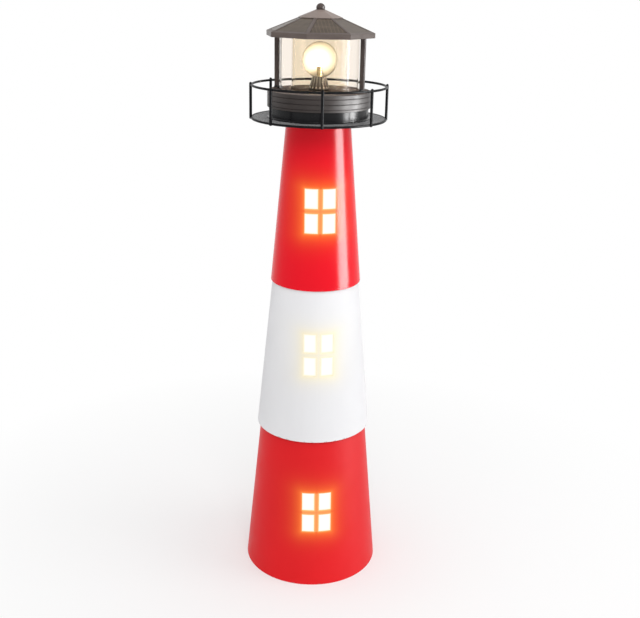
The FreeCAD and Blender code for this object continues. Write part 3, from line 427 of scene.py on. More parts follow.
class Finish(Nodes):
    """A material built round one Principled shader."""

    def __init__(self, name, **fixed):
        self.material = bpy.data.materials.new(name)
        super().__init__(self.material)
        self.shader = self.tree.nodes["Principled BSDF"]
        for socket, value in fixed.items():
            self.put(socket.replace("_", " "), value)
        self.place = self.node("ShaderNodeTexCoord")["Object"]
        axes = self.node("ShaderNodeSeparateXYZ", {"Vector": self.place})
        self.x, self.y, self.z = axes["X"], axes["Y"], axes["Z"]

    def put(self, socket, value):
        """Set or link one of the shader's own sockets."""
        self.fill(self.shader, {socket: value})

    def noise(self, scale, detail=2.0, roughness=0.5, place=None):
        return self.node("ShaderNodeTexNoise", {
            "Vector": place or self.place, "Scale": scale, "Detail": detail,
            "Roughness": roughness})["Fac"]

    def grain(self, stretch, detail=3, roughness=0.6):
        """Noise with a scale of its own along each axis."""
        place = self.node("ShaderNodeMapping", {"Vector": self.place, "Scale": stretch})
        return self.noise(1, detail, roughness, place["Vector"])

    def mix(self, factor, first, second, blend="MIX"):
        return self.node("ShaderNodeMix", {0: factor, 6: first, 7: second},
                         data_type="RGBA", blend_type=blend, clamp_factor=True)[2]

    def relief(self, height, strength, distance):
        bump = self.node("ShaderNodeBump", {"Height": height, "Strength": strength,
                                            "Distance": distance})
        self.put("Normal", bump["Normal"])

    def bearing(self):
        """Angle round the Z axis."""
        return self.y.math("ARCTAN2", self.x)

    def tint(self, factor, first, second):
        self.put("Base Color", self.mix(factor, first, second))

    def shine(self, tones, strength):
        self.put("Emission Color", tones)
        self.put("Emission Strength", strength)


def grow(tone, factor):
    return tuple(min(channel * factor, 1) for channel in tone)


def hypotenuse(first, second):
    return (first * first + second * second) ** 0.5


def pane_edges(tower):
    """Where a window's panes start, and where they end across and up."""
    near = tower.bar / 2
    return near, near + tower.pane_width, near + tower.pane_height


def paint_finish(name, tone, gloss, foot, window, glow, tower, window_glow_tone, lit):
    """Sprayed paint on sheet steel, lit round the window by the light inside."""
    roughness, sheen = gloss
    rim, halo, bar = lit
    finish = Finish(name, Specular_IOR_Level=sheen)
    tones = finish.mix(finish.noise(7, 3).span(0.35, 0.65), grow(tone, 0.93), tone)
    specks = finish.noise(420, 2, 0.7).span(0.7, 0.78)
    tones = finish.mix(specks * 0.25, tones, grow(tone, 0.7))
    edge = (finish.z - foot).span(0.2 * MM, 1.4 * MM, 1, 0)
    chips = finish.noise(260, 3, 0.6).span(0.56, 0.62) * edge
    bare_steel = (0.2, 0.19, 0.18)
    tones = finish.mix(chips * 0.6, tones, bare_steel)
    finish.put("Roughness", finish.noise(60, 3).spread(roughness - 0.03, roughness + 0.05)
               + chips * 0.2)
    across = finish.x.size()
    up = (finish.z - window).size()
    near, wide, tall = pane_edges(tower)
    gap = hypotenuse((near - across).at_least(across - wide).at_least(0),
                     (near - up).at_least(up - tall).at_least(0))
    front = finish.y.span(-0.02, 0, 1, 0)
    close = (gap / -glow.rim_reach).math("EXPONENT") * front
    around = (gap / -glow.halo_reach).math("EXPONENT") * front
    bars = (across - wide).at_least(up - tall).span(-0.5 * MM, 0.5 * MM, 1, 0) * front
    # Painted window glow in the base colour: close to a pane the white section takes a warmer
    # tone, while the red sections keep their own red.
    finish.tint(around, tones, window_glow_tone)
    light = finish.mix(around, BLACK, halo)
    light = finish.mix(close, light, rim, blend="ADD")
    finish.shine(finish.mix(bars, light, bar, blend="ADD"), 1.0)
    finish.relief(finish.noise(900, 1) + finish.noise(170, 2) * 0.8, 0.05, 0.15 * MM)
    return finish.material


def film_finish(glow, window, tower):
    """A warm diffuser film, whitest in the middle of each pane."""
    finish = Finish("window_film_glow", Base_Color=(0.04, 0.038, 0.03), Roughness=0.6,
                    Specular_IOR_Level=0.1)
    across = (finish.x.size() - (tower.bar + tower.pane_width) / 2).size()
    up = ((finish.z - window).size() - (tower.bar + tower.pane_height) / 2).size()
    edge = (across - tower.pane_width / 2).at_least(up - tower.pane_height / 2)
    cloudy = finish.noise(90, 2) * (0.8 * MM)
    tones = finish.mix((edge + cloudy).span(-1.2 * MM, 0.5 * MM), glow.film, glow.film_edge)
    finish.shine(tones, glow.film_strength)
    return finish.material


def black_paint(name, tone, roughness, sheen, peel):
    """Black paint with a little dust in it."""
    finish = Finish(name, Specular_IOR_Level=sheen)
    dust = finish.noise(150, 4, 0.65).span(0.45, 0.8)
    finish.tint(dust, tone, grow(tone, 2.2))
    finish.put("Roughness", finish.noise(220, 3).spread(roughness, roughness + 0.08))
    finish.relief(finish.noise(1300, 2) + finish.noise(240, 2), peel, 0.1 * MM)
    return finish.material


def grain_floor(settings):
    """Textured powder coat: pale specks over a dark ground."""
    finish = Finish("gallery_floor_grain", Specular_IOR_Level=0.12)
    grain = finish.noise(1500, 2, 0.7)
    worn = finish.noise(60, 3).span(0.35, 0.7) * 0.5
    tones = finish.mix(grain.span(0.44, 0.6), settings.floor_dark, settings.floor_pale)
    finish.tint(worn, tones, settings.floor_dark)
    finish.put("Roughness", grain.spread(0.6, 0.42))
    finish.relief(grain, 0.35, 0.2 * MM)
    return finish.material


def moulded(name, tone, roughness=0.3, grain=0.04, streak=0.12, sheen=0.14):
    """Moulded plastic: faint flow marks, fine grain and rubbed patches."""
    finish = Finish(name, Specular_IOR_Level=sheen)
    flow = finish.grain((30, 30, 140))
    tones = finish.mix(flow.span(0.35, 0.65) * streak * 4, tone, grow(tone, 1.7))
    dust = finish.noise(330, 4, 0.75).span(0.6, 0.8)
    finish.tint(dust * 0.2, tones, grow(tone, 3))
    facing = finish.node("ShaderNodeNewGeometry")["Normal"]
    flat = finish.node("ShaderNodeSeparateXYZ", {"Vector": facing})["Z"].span(0.9, 0.98)
    finish.put("Roughness", finish.noise(80, 3).spread(roughness - 0.05, roughness + 0.1)
               + dust * 0.08 + flat * 0.4)
    finish.relief(finish.noise(1800, 1) + flow * 0.6, grain, 0.1 * MM)
    return finish.material


def bare_metal(name, tone, roughness=0.28):
    """Plated or drawn metal with a fine brushed grain."""
    finish = Finish(name, Metallic=1.0)
    brushed = finish.grain((60, 60, 900))
    finish.tint(brushed.spread(), grow(tone, 0.75), tone)
    finish.put("Roughness", brushed.spread(roughness - 0.08, roughness + 0.12))
    finish.relief(brushed, 0.1, 0.05 * MM)
    return finish.material


def clear_tube(name, tint):
    """Tinted clear plastic, with faint clouding that only shows in its gloss."""
    finish = Finish(name, Base_Color=tint, IOR=1.12, Transmission_Weight=1.0)
    finish.put("Roughness", finish.noise(40, 2).span(0.35, 0.7, 0.005, 0.03))
    return finish.material


def solar_finish(tone):
    """Brown solar film, with pale lines that run down each face of the roof."""
    finish = Finish("solar_film_lines", Coat_Weight=0.08, Coat_Roughness=0.1,
                    Specular_IOR_Level=0.1)
    bearing = finish.bearing() - (HEAD_TURN - math.pi / 2)
    step = math.tau / ROOF_SIDES
    inside = bearing - (bearing / step).math("ROUND") * step
    run = hypotenuse(finish.x, finish.y)
    along = run * inside.math("SINE")
    down = run * inside.math("COSINE")
    line_pitch, bar_pitch = 3.2 * MM, 11 * MM
    lines = (along / line_pitch).math("PINGPONG", 0.5).span(0.06, 0.12, 1, 0)
    bars = (down / bar_pitch).math("PINGPONG", 0.5).span(0.02, 0.045, 1, 0)
    tones = finish.mix(finish.noise(140, 3, 0.6).spread(), grow(tone, 0.6), tone)
    tones = finish.mix(lines * 0.35, tones, (0.2, 0.155, 0.11))
    finish.tint(bars * 0.3, tones, (0.22, 0.17, 0.125))
    printed = lines.at_least(bars)
    finish.put("Roughness", printed.span(0, 1, 0.3, 0.42))
    finish.relief(printed, 0.12, 0.05 * MM)
    return finish.material


def lit_bowl(glow, centre):
    """A plated bowl with the lamp's light on its inner side, brightest in the middle."""
    finish = Finish("lit_reflector", Metallic=1.0)
    out = finish.node("ShaderNodeVectorMath", {0: finish.place, 1: centre},
                      operation="SUBTRACT")["Vector"]
    away = finish.node("ShaderNodeVectorMath", {0: out}, operation="LENGTH")["Value"]
    facing = finish.node("ShaderNodeVectorMath", {
        0: out, 1: finish.node("ShaderNodeTexCoord")["Normal"]}, operation="DOT_PRODUCT")
    inside = facing["Value"].span(-2 * MM, 0, 1, 0)
    finish.put("Roughness", finish.noise(240, 2).spread(0.38, 0.46))
    lit = away.span(BOWL_FOCUS, BOWL_RIM - 0.5 * MM, 1, 0) ** 1.3 * inside
    # A darker ring at the rim: painted shade, standing in for the dark surroundings that the
    # plated rim reflects.
    lip = away.span(BOWL_RIM - 1 * MM, BOWL_RIM - 0.4 * MM)
    finish.tint(lip, (0.5, 0.46, 0.4), (0.3, 0.27, 0.24))
    finish.shine(finish.mix(lit, BLACK, glow.lamp), glow.bowl_strength)
    return finish.material


def lit_hub(glow, tone, low, high):
    """Dark plastic with the lamp's light running down its flutes."""
    finish = Finish("hub_plastic", Specular_IOR_Level=0.2)
    grain = finish.noise(120, 3)
    finish.tint(grain.spread(), tone, grow(tone, 2))
    finish.put("Roughness", grain.spread(0.2, 0.34))
    streak = (finish.bearing() * HUB_FLUTES).math("COSINE").span(-0.2, 1) ** 2
    rise = (finish.z - low).span(1.5 * MM, high - low, 0.05, 1)
    foot = ((finish.z - low) / MM - 2.4).size().span(0, 1.1, 1, 0)
    light = streak * (rise * 0.55 + foot * 0.9) + rise * 0.12
    finish.shine(finish.mix(light, BLACK, grow(glow.lamp, 0.9)), glow.hub_strength)
    finish.relief(grain, 0.05, 0.1 * MM)
    return finish.material


def lamp_finish(name, glow):
    finish = Finish(name, Base_Color=(1, 0.97, 0.9), Roughness=0.2)
    finish.shine(finish.mix(finish.noise(300, 1), glow.lamp, grow(glow.lamp, 1.15)),
                 glow.lamp_strength)
    return finish.material


# ---- Tower ----

def split(bm, co, no):
    """Split the window side of a section along a plane."""
    half_width = 24 * MM
    faces = [face for face in bm.faces
             if face.calc_center_median().y < 0 and abs(face.normal.z) < 0.5
             and max(abs(vert.co.x) for vert in face.verts) < half_width]
    geom = faces + list({e for face in faces for e in face.edges}) \
        + list({v for face in faces for v in face.verts})
    bmesh.ops.bisect_plane(bm, geom=geom, dist=1e-7, plane_co=co, plane_no=no)


def cut_panes(bm, centre, tower):
    """Open a window's four panes through both sides of the wall."""
    near, wide, tall = pane_edges(tower)
    for across in (-wide, -near, near, wide):
        split(bm, (across, 0, 0), (1, 0, 0))
    for up in (-tall, -near, near, tall):
        split(bm, (0, 0, centre + up), (0, 0, 1))
    inside = []
    for face in bm.faces:
        middle = face.calc_center_median()
        if (middle.y < 0 and near < abs(middle.x) < wide
                and near < abs(middle.z - centre) < tall):
            inside.append(face)
    bmesh.ops.delete(bm, geom=inside, context="FACES")
    for left in (True, False):
        for low in (True, False):
            rim = [edge for edge in bm.edges if edge.is_boundary
                   and ((edge.verts[0].co.x + edge.verts[1].co.x) < 0) == left
                   and ((edge.verts[0].co.z + edge.verts[1].co.z) / 2 < centre) == low]
            bmesh.ops.bridge_loops(bm, edges=rim)
    face_outwards(bm)


def section(foot, radius, taper, height, window, tower, lip=0.0, bead=0.0, hole=0.0):
    """One tapered tower section, with its foot and top edges."""
    top = foot + height
    end = radius - taper * height
    outline = [(radius - (lip or WALL), foot), (radius, foot)]
    if bead:
        outline.append((end + taper * bead * 2, top - bead * 2))
        outline += arc((end, top - bead), bead, -80, 90, 10)
        outline.append((end - WALL, top - WALL / 2))
    else:
        outline += [(end, top), (hole, top), (hole, top - WALL),
                    (end - WALL + taper * WALL, top - WALL)]
    if lip:
        outline += [(radius - WALL * (1 + taper), foot + WALL), (radius - lip, foot + WALL)]
    bm = revolve(outline)
    edges = [edge for edge in bm.edges
             if max(vert.co.z for vert in edge.verts) < foot + WALL * 1.2
             or (hole and min(vert.co.z for vert in edge.verts) > top - WALL * 1.2)]
    soften(bm, 0.22 * MM, 2, 40, among=edges)
    cut_panes(bm, window, tower)
    return bm


def seam(foot, radius, taper, low, high):
    """The lapped seam down the back of a section: a flat strip on the wall."""
    width, thickness, lift = 7 * MM, 0.5 * MM, 0.1 * MM
    bm = block(width, thickness, high - low)
    bmesh.ops.subdivide_edges(bm, edges=[e for e in bm.edges if abs(
        (e.verts[0].co - e.verts[1].co).x) > 5 * MM], cuts=7)
    for vert in bm.verts:
        vert.co.y -= vert.co.x ** 2 / (2 * radius)
    soften(bm, 0.2 * MM)
    turn_mesh(bm, math.atan(taper), "X")
    middle = (low + high) / 2
    move_mesh(bm, 0, radius - taper * (middle - foot) + lift, middle)
    return bm


class LIGHTHOUSE_OT_tower(Operator):
    """Build the three painted tower sections with their windows and seams"""

    bl_idname = "lighthouse.tower"
    bl_label = "Tower sections"

    def execute(self, context):
        tower = context.scene.lighthouse_tower
        glow = context.scene.lighthouse_glow
        red = (glow.red_rim, glow.red_halo, glow.red_bars)
        white = (glow.white_rim, glow.white_halo, BLACK)
        rows = (
            ("lower", "red_paint_lower", tower.lower_red, tower.lower_red, red,
             {"lip": tower.foot_lip, "bead": tower.lower_bead}),
            ("middle", "white_paint", tower.white, glow.white_window_glow, white,
             {"bead": tower.middle_bead}),
            ("upper", "red_paint_upper", tower.upper_red, tower.upper_red, red,
             {"hole": tower.flange_hole}),
        )
        for name, slot, tone, window_glow_tone, lit, ends in rows:
            node, body = f"{name}_tower_section", f"{name}_tower"
            taper = getattr(tower, f"{name}_taper")
            window = getattr(tower, f"{name}_window")
            radius, foot, top = reach(node), level(node, top=False), level(node)
            finish = paint_finish(f"{slot}_finish", tone, PAINT_GLOSS[name], foot, window,
                                  glow, tower, window_glow_tone, lit)
            shell = section(foot, radius, taper, top - foot, window, tower, **ends)
            piece(shell, f"{name}_section_shell", body, finish, [node])
            strip = seam(foot, radius, taper, foot + SEAM_START, top - SEAM_END[name])
            piece(strip, f"{name}_section_seam", body, finish)
            dress(f"{name}_window_film", film_finish(glow, window, tower))
        return {"FINISHED"}


# ---- Gallery ----

def weld_bead(x, y, z, radius):
    """A small blob where two wires are welded, drawn out along the ring."""
    bm = bmesh.new()
    bmesh.ops.create_icosphere(bm, subdivisions=2, radius=radius)
    bmesh.ops.scale(bm, vec=(0.8, 1.5, 0.8), verts=bm.verts)
    turn_mesh(bm, math.atan2(y, x))
    move_mesh(bm, x, y, z)
    return bm


class LIGHTHOUSE_OT_rail(Operator):
    """Build the two rail rings and the eight stanchions with their welds"""

    bl_idname = "lighthouse.rail"
    bl_label = "Rail"

    def execute(self, context):
        sizes = context.scene.lighthouse_gallery
        black = black_paint("wire_paint", sizes.wire_black, roughness=0.25, sheen=0.05,
                            peel=0.06)
        half = sizes.wire / 2
        ring_radius = reach("rail_top_ring") - half
        heights = []
        for node in ("rail_bottom_ring", "rail_top_ring"):
            low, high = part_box(node)
            heights.append((low.z + high.z) / 2)
            ring = revolve(list(arc((ring_radius, heights[-1]), half, 0, 330, 11)))
            piece(ring, f"{node}_wire", "upper_tower", black, [node], crisp=60)
        half = sizes.post_wire / 2
        for index in range(STANCHIONS):
            node = f"rail_stanchion_{index + 1}"
            low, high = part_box(node)
            x, y = (low.x + high.x) / 2, (low.y + high.y) / 2
            rod = revolve([(0, low.z), (half * 0.7, low.z), (half, low.z + half * 0.4)]
                          + list(arc((0, high.z - half), half, 0, 90)), steps=24)
            move_mesh(rod, x, y, 0)
            inward = Vector((x, y, 0)).normalized() * sizes.weld_inset
            welds = [weld_bead(x - inward.x, y - inward.y, z, sizes.weld) for z in heights]
            piece(join(rod, *welds), f"{node}_wire", "upper_tower", black,
                  [node], crisp=60)
        return {"FINISHED"}


class LIGHTHOUSE_OT_collar(Operator):
    """Build the gloss black collar and finish the gallery floor"""

    bl_idname = "lighthouse.collar"
    bl_label = "Collar and floor"

    def execute(self, context):
        sizes = context.scene.lighthouse_gallery
        low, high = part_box("lantern_collar")
        lip, foot, top = high.x, low.z, high.z
        radius = lip - sizes.collar_lip
        curl = WALL / 2
        outline = [(radius - WALL, foot), (lip - 0.3 * MM, foot)]
        outline += arc((lip - curl, foot + curl), curl, -60, 90)
        outline += arc((radius + WALL, foot + 2 * WALL), WALL, 270, 180)
        outline += [(radius, top - 0.3 * MM)]
        outline += arc((radius - curl, top - curl), curl, 0, 180)
        gloss = black_paint("collar_paint", sizes.collar_black, roughness=0.2, sheen=0.18,
                            peel=0.02)
        piece(revolve(outline), "collar_sleeve", "upper_tower", gloss,
              ["lantern_collar"])
        dress("gallery_plate", grain_floor(sizes))
        dress("gallery_screws", bare_metal("zinc_plate", (0.62, 0.62, 0.64)))
        return {"FINISHED"}


# ---- Lantern ----

class LIGHTHOUSE_OT_lantern_base(Operator):
    """Build the ribbed lantern base with its deck"""

    bl_idname = "lighthouse.lantern_base"
    bl_label = "Lantern base"

    def execute(self, context):
        sizes = context.scene.lighthouse_lantern
        low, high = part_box("lantern_base")
        radius, foot, top = high.x, low.z, high.z
        deck, wall, hole = 2 * MM, 1.4 * MM, 4.2 * MM
        first_groove, chamfer = 1.4 * MM, 0.3 * MM
        under = top - deck
        depth, width, edge = sizes.groove_depth, sizes.groove_width, sizes.edge
        outline = [(hole, under), (radius - wall, under), (radius - wall, foot),
                   (radius - chamfer, foot), (radius, foot + chamfer)]
        for index in reversed(range(3)):
            upper = under - first_groove - index * sizes.groove_pitch
            lower = upper - width
            outline += [(radius, lower), (radius - depth * 0.8, lower + width * 0.25),
                        (radius - depth, lower + width / 2),
                        (radius - depth * 0.8, upper - width * 0.25), (radius, upper)]
        outline += arc((radius - edge, top - edge), edge, 0, 90)
        outline += [(hole, top)]
        bm = revolve(outline)
        # Faces that look up get the paler deck material: painted light on the top of the one
        # moulding.
        for face in bm.faces:
            face.material_index = int(face.normal.z > 0.9)
        finish = moulded("lantern_plastic_dark", sizes.plastic, 0.44, streak=0.16, sheen=0.36)
        skirt = piece(bm, "lantern_skirt", "lantern_head", finish,
                      ["lantern_base"], crisp=32)
        skirt.data.materials.append(moulded("lantern_deck", sizes.deck, 0.6, sheen=0.0))
        return {"FINISHED"}


class LIGHTHOUSE_OT_lens(Operator):
    """Build the outer and inner clear tubes"""

    bl_idname = "lighthouse.lens"
    bl_label = "Clear tubes"

    def execute(self, context):
        sizes = context.scene.lighthouse_lantern
        for place, tint in (("outer", sizes.outer_tint), ("inner", sizes.inner_tint)):
            node = f"{place}_lens_tube"
            low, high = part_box(node)
            bore = high.x - sizes.tube_wall
            bm = revolve([(bore, low.z), (high.x, low.z), (high.x, high.z), (bore, high.z)])
            soften(bm, 0.2 * MM)
            piece(bm, f"{node}_clear", "lantern_head",
                  clear_tube(f"{place}_clear", tint), [node])
        return {"FINISHED"}


def screw_head(place, seat, radius, rise):
    """A domed screw head."""
    top = seat + rise
    outline = [(0, seat), (radius * 0.97, seat)]
    outline += arc((radius * 0.45, seat + rise * 0.35), radius * 0.55, -15, 75)
    outline += [(0, top)]
    bm = revolve([(r, min(z, top)) for r, z in outline], steps=32)
    move_mesh(bm, place.x, place.y, 0)
    return bm


def slot_blocks(places, top, radius, turn):
    """Blocks that cut one slot into each screw head."""
    blocks = []
    for index, place in enumerate(places):
        bm = block(radius * 1.3, radius * 0.26, 0.9 * MM)
        turn_mesh(bm, turn + index * 0.9)
        move_mesh(bm, place.x, place.y, top)
        blocks.append(bm)
    return join(*blocks)


class LIGHTHOUSE_OT_posts(Operator):
    """Build the two roof posts with their screws"""

    bl_idname = "lighthouse.posts"
    bl_label = "Posts"

    def execute(self, context):
        sizes = context.scene.lighthouse_lantern
        finish = moulded("post_plastic", sizes.posts, 0.26)
        low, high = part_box("lantern_post_left")
        foot, top = low.z, high.z
        pad = foot + 1.6 * MM
        depth, tube_gap, screw_offset = 4.2 * MM, 0.7 * MM, 4.7 * MM
        half_pad, half_foot, half_top = 6.8 * MM, 2.3 * MM, 2.95 * MM
        radius = reach("outer_lens_tube") + tube_gap + depth / 2
        profile = [(-half_pad, foot), (half_pad, foot), (half_pad, pad), (half_foot, pad),
                   (half_top, top), (-half_top, top), (-half_foot, pad), (-half_pad, pad)]
        places = []
        for side, corner in (("left", 157.5), ("right", 337.5)):
            angle = math.radians(corner) + HEAD_TURN + math.pi / 2
            bm = bmesh.new()
            face = bm.faces.new([bm.verts.new((x, -depth / 2, z)) for x, z in profile])
            made = bmesh.ops.extrude_face_region(bm, geom=[face])
            bmesh.ops.translate(bm, vec=(0, depth, 0),
                                verts=[v for v in made["geom"]
                                       if isinstance(v, bmesh.types.BMVert)])
            face_outwards(bm)
            soften(bm, 0.5 * MM, 3)
            move_mesh(bm, 0, -radius, 0)
            turn_mesh(bm, angle)
            piece(bm, f"lantern_post_{side}_moulding", "lantern_head",
                  finish, [f"lantern_post_{side}"])
            for offset in (-screw_offset, screw_offset):
                places.append(Matrix.Rotation(angle, 3, "Z") @ Vector((offset, -radius, 0)))
        rise, wide = 0.99 * MM, 1.71 * MM
        heads = join(*[screw_head(place, pad, wide, rise) for place in places])
        item = piece(heads, "post_screw_heads", "lantern_head",
                     moulded("screw_black", (0.02, 0.02, 0.02), 0.3), ["post_screws"])
        first_turn = 0.4
        for turn in (first_turn, first_turn + math.pi / 2):
            carve(item, slot_blocks(places, pad + rise, wide, turn))
        return {"FINISHED"}


# ---- Roof ----

def eight_sided(outline):
    """Turn an outline of (corner radius, height) points into an eight-sided solid."""
    return revolve(outline, steps=ROOF_SIDES, first=math.pi / ROOF_SIDES + HEAD_TURN)


class LIGHTHOUSE_OT_roof(Operator):
    """Build the roof, its ceiling, cap, solar films and ball"""

    bl_idname = "lighthouse.roof"
    bl_label = "Roof"

    def execute(self, context):
        sizes = context.scene.lighthouse_lantern
        slope, corner, peak = sizes.roof_slope, sizes.roof_corner, sizes.peak
        shell, fascia, fascia_wall = 2 * MM, 4.3 * MM, 1.6 * MM
        eave_strip, rib = 3 * MM, 1.7 * MM
        recess, recess_draft = 0.75 * MM, 0.02 * MM
        to_corner = 1 / math.cos(math.pi / ROOF_SIDES)
        base = level("roof_shell", top=False)
        eave = base + fascia

        def height(radius):
            return eave + (corner - radius) * slope

        lower = corner - (eave_strip - rib) * to_corner
        upper = sizes.cap_corner - rib * to_corner
        inner = corner - fascia_wall
        bm = eight_sided([
            (inner, base), (corner, base), (corner, eave), (lower, height(lower)),
            (upper, height(upper)), (peak, height(peak)), (peak, height(peak) - shell),
            (inner, height(inner) - shell),
        ])
        panels = [face for face in bm.faces if face.normal.z > 0.5
                  and upper < face.calc_center_median().xy.length < corner * 0.8]
        for thickness, depth in ((rib, 0), (recess_draft, -recess)):
            bmesh.ops.inset_individual(bm, faces=panels, thickness=thickness, depth=depth,
                                       use_even_offset=True)
        soften(bm, 0.28 * MM)
        piece(bm, "roof_moulding", "lantern_head",
              moulded("roof_plastic_satin", sizes.roof, 0.32, streak=0.1), ["roof_shell"],
              crisp=14)

        dress("roof_ceiling", moulded("ceiling_plastic", sizes.roof, 0.4))
        solar = solar_finish(sizes.solar)
        for index in range(ROOF_SIDES):
            dress(f"solar_cell_{index + 1}", solar)

        cap_rise = 0.5 * MM
        rim, tip = height(sizes.cap_corner), height(peak)
        cap = eight_sided([
            (sizes.cap_corner, rim), (sizes.cap_corner, rim + cap_rise),
            (peak, tip + cap_rise), (0, tip + cap_rise), (0, tip), (peak, tip),
        ])
        soften(cap, 0.2 * MM)
        piece(cap, "roof_cap_moulding", "lantern_head",
              moulded("cap_plastic", sizes.cap, 0.3, streak=0.1), ["roof_cap"], crisp=14)

        low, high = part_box("finial")
        outline = [(0, low.z), (3.9 * MM, low.z), (4.0 * MM, low.z + 0.35 * MM),
                   (3.55 * MM, low.z + 0.75 * MM)]
        outline += arc((0, high.z - sizes.ball), sizes.ball, -8, 90, 16)
        piece(revolve(outline, steps=64), "finial_ball", "lantern_head",
              moulded("finial_plastic", sizes.posts, 0.3), ["finial"], crisp=45)
        return {"FINISHED"}


# ---- Works ----

def flute(bm, low, high):
    """Press shallow upright flutes into the side of a cone."""
    depth, bore = 0.35 * MM, 5 * MM
    band = [edge for edge in bm.edges if min(v.co.z for v in edge.verts) < low
            < high < max(v.co.z for v in edge.verts)]
    bmesh.ops.subdivide_edges(bm, edges=band, cuts=8, use_grid_fill=True)
    for vert in bm.verts:
        out = vert.co.xy.length
        if low < vert.co.z < high and out > bore:
            swell = math.sin(math.pi * (vert.co.z - low) / (high - low))
            angle = math.atan2(vert.co.y, vert.co.x)
            press = depth * swell * (0.5 + 0.5 * math.cos(HUB_FLUTES * angle))
            vert.co.xy *= 1 - press / out


def bowl(focus, spare=0.0, filled=False):
    """A paraboloid shell that opens to -Y, or its filled form."""
    wall, steps = 1 * MM, 16

    def back(radius, push):
        return radius ** 2 / (4 * BOWL_FOCUS) - BOWL_FOCUS - push

    radii = [(BOWL_RIM + spare) * step / steps for step in range(steps + 1)]
    outer = [(radius, back(radius, wall + spare)) for radius in radii]
    inner = [(radius, back(radius, 0)) for radius in reversed(radii)]
    outline = outer + ([inner[0], (0, inner[0][1])] if filled else inner)
    bm = revolve(outline, steps=96)
    turn_mesh(bm, math.radians(90), "X")
    turn_mesh(bm, HEAD_TURN)
    move_mesh(bm, *focus)
    return bm


class LIGHTHOUSE_OT_rotor(Operator):
    """Build the reflector and its hub, and light the lamps"""

    bl_idname = "lighthouse.rotor"
    bl_label = "Reflector and lamps"

    def execute(self, context):
        glow = context.scene.lighthouse_glow
        sizes = context.scene.lighthouse_lantern
        low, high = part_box("turntable_hub")
        radius, foot = high.x, low.z
        rise, bore, sleeve = 11.9 * MM, 2.9 * MM, 4 * MM
        socket, shoulder, chamfer = 2.4 * MM, 6.6 * MM, 0.3 * MM
        rim_edge, top_edge = 0.5 * MM, 1 * MM
        top = foot + rise
        outline = [(sleeve, foot), (radius - chamfer, foot), (radius, foot + chamfer)]
        outline += arc((radius - rim_edge, foot + 1.7 * MM), rim_edge, 0, 70, 4)
        outline += arc((shoulder - top_edge, top - top_edge), top_edge, 15, 90)
        outline += [(bore, top), (bore, top - socket), (sleeve, top - socket)]
        bm = revolve(outline, steps=96)
        flute(bm, foot + 2.2 * MM, top - 1.2 * MM)
        hub = piece(bm, "hub_moulding", "rotor",
                    lit_hub(glow, sizes.plastic, foot, top), ["turntable_hub"])

        focus_rise = 6 * MM
        focus = Vector((0, 0, level("beacon_led", top=False) + focus_rise))
        carve(hub, bowl(focus, spare=0.02 * MM, filled=True))
        dish = piece(bowl(focus), "reflector_bowl", "rotor",
                     lit_bowl(glow, focus), ["reflector_dish"], crisp=40)
        stem_hole, below, above = 3.1 * MM, focus.z - 20 * MM, focus.z + 1 * MM
        carve(dish, revolve([(0, below), (stem_hole, below), (stem_hole, above), (0, above)],
                            steps=48))
        dress("beacon_led", lamp_finish("lamp_lit", glow))
        dress("tower_led", lamp_finish("tower_lamp_lit", glow))
        return {"FINISHED"}


class LIGHTHOUSE_OT_works(Operator):
    """Finish the tray, battery, board, motor, gears and switch inside the collar"""

    bl_idname = "lighthouse.works"
    bl_label = "Works"

    def execute(self, context):
        black = moulded("tray_plastic_black", (0.03, 0.03, 0.032), 0.42, grain=0.12)
        nickel = bare_metal("nickel_strip", (0.7, 0.69, 0.66), 0.22)
        gear = moulded("gear_nylon", (0.78, 0.77, 0.72), 0.38, streak=0.03)
        steel = bare_metal("motor_steel", (0.55, 0.55, 0.56), 0.3)
        board = Finish("board_mask", Specular_IOR_Level=0.5, Roughness=0.35)
        tracks = board.grain((700, 160, 700), 2, 0.4)
        board.tint(tracks.span(0.5, 0.56), (0.02, 0.17, 0.06), (0.05, 0.28, 0.1))
        board.relief(tracks, 0.2, 0.05 * MM)
        finishes = {
            "works_tray": black, "battery_cover": black, "switch_body": black,
            "switch_slider": black, "battery_contact_plus": nickel,
            "battery_contact_minus": nickel, "driven_gear": gear, "motor_pinion": gear,
            "gear_motor": steel, "motor_shaft": steel, "circuit_board": board.material,
            "tray_screws": bare_metal("zinc_screws_plate", (0.6, 0.6, 0.62)),
            "lamp_stem": bare_metal("stem_brass_tube", (0.78, 0.66, 0.42), 0.25),
            "battery_cell": moulded("cell_wrap", (0.08, 0.3, 0.16), 0.25, streak=0.05),
        }
        for node, finish in finishes.items():
            dress(node, finish)
        return {"FINISHED"}


# ---- Stage ----

def soft_light(name, energy, wide, tall, azimuth, distance, height):
    """A soft box that stands at an azimuth from the windows' side and looks inwards."""
    data = bpy.data.lights.new(name, "AREA")
    data.shape = "RECTANGLE"
    data.size = wide
    data.size_y = tall
    data.energy = energy
    item = link(name, data)
    angle = math.radians(azimuth)
    item.location = (math.sin(angle) * distance, -math.cos(angle) * distance, height)
    aim = Vector((0, 0, 0.3))
    item.rotation_euler = (aim - item.location).to_track_quat("-Z", "Y").to_euler()
    return item


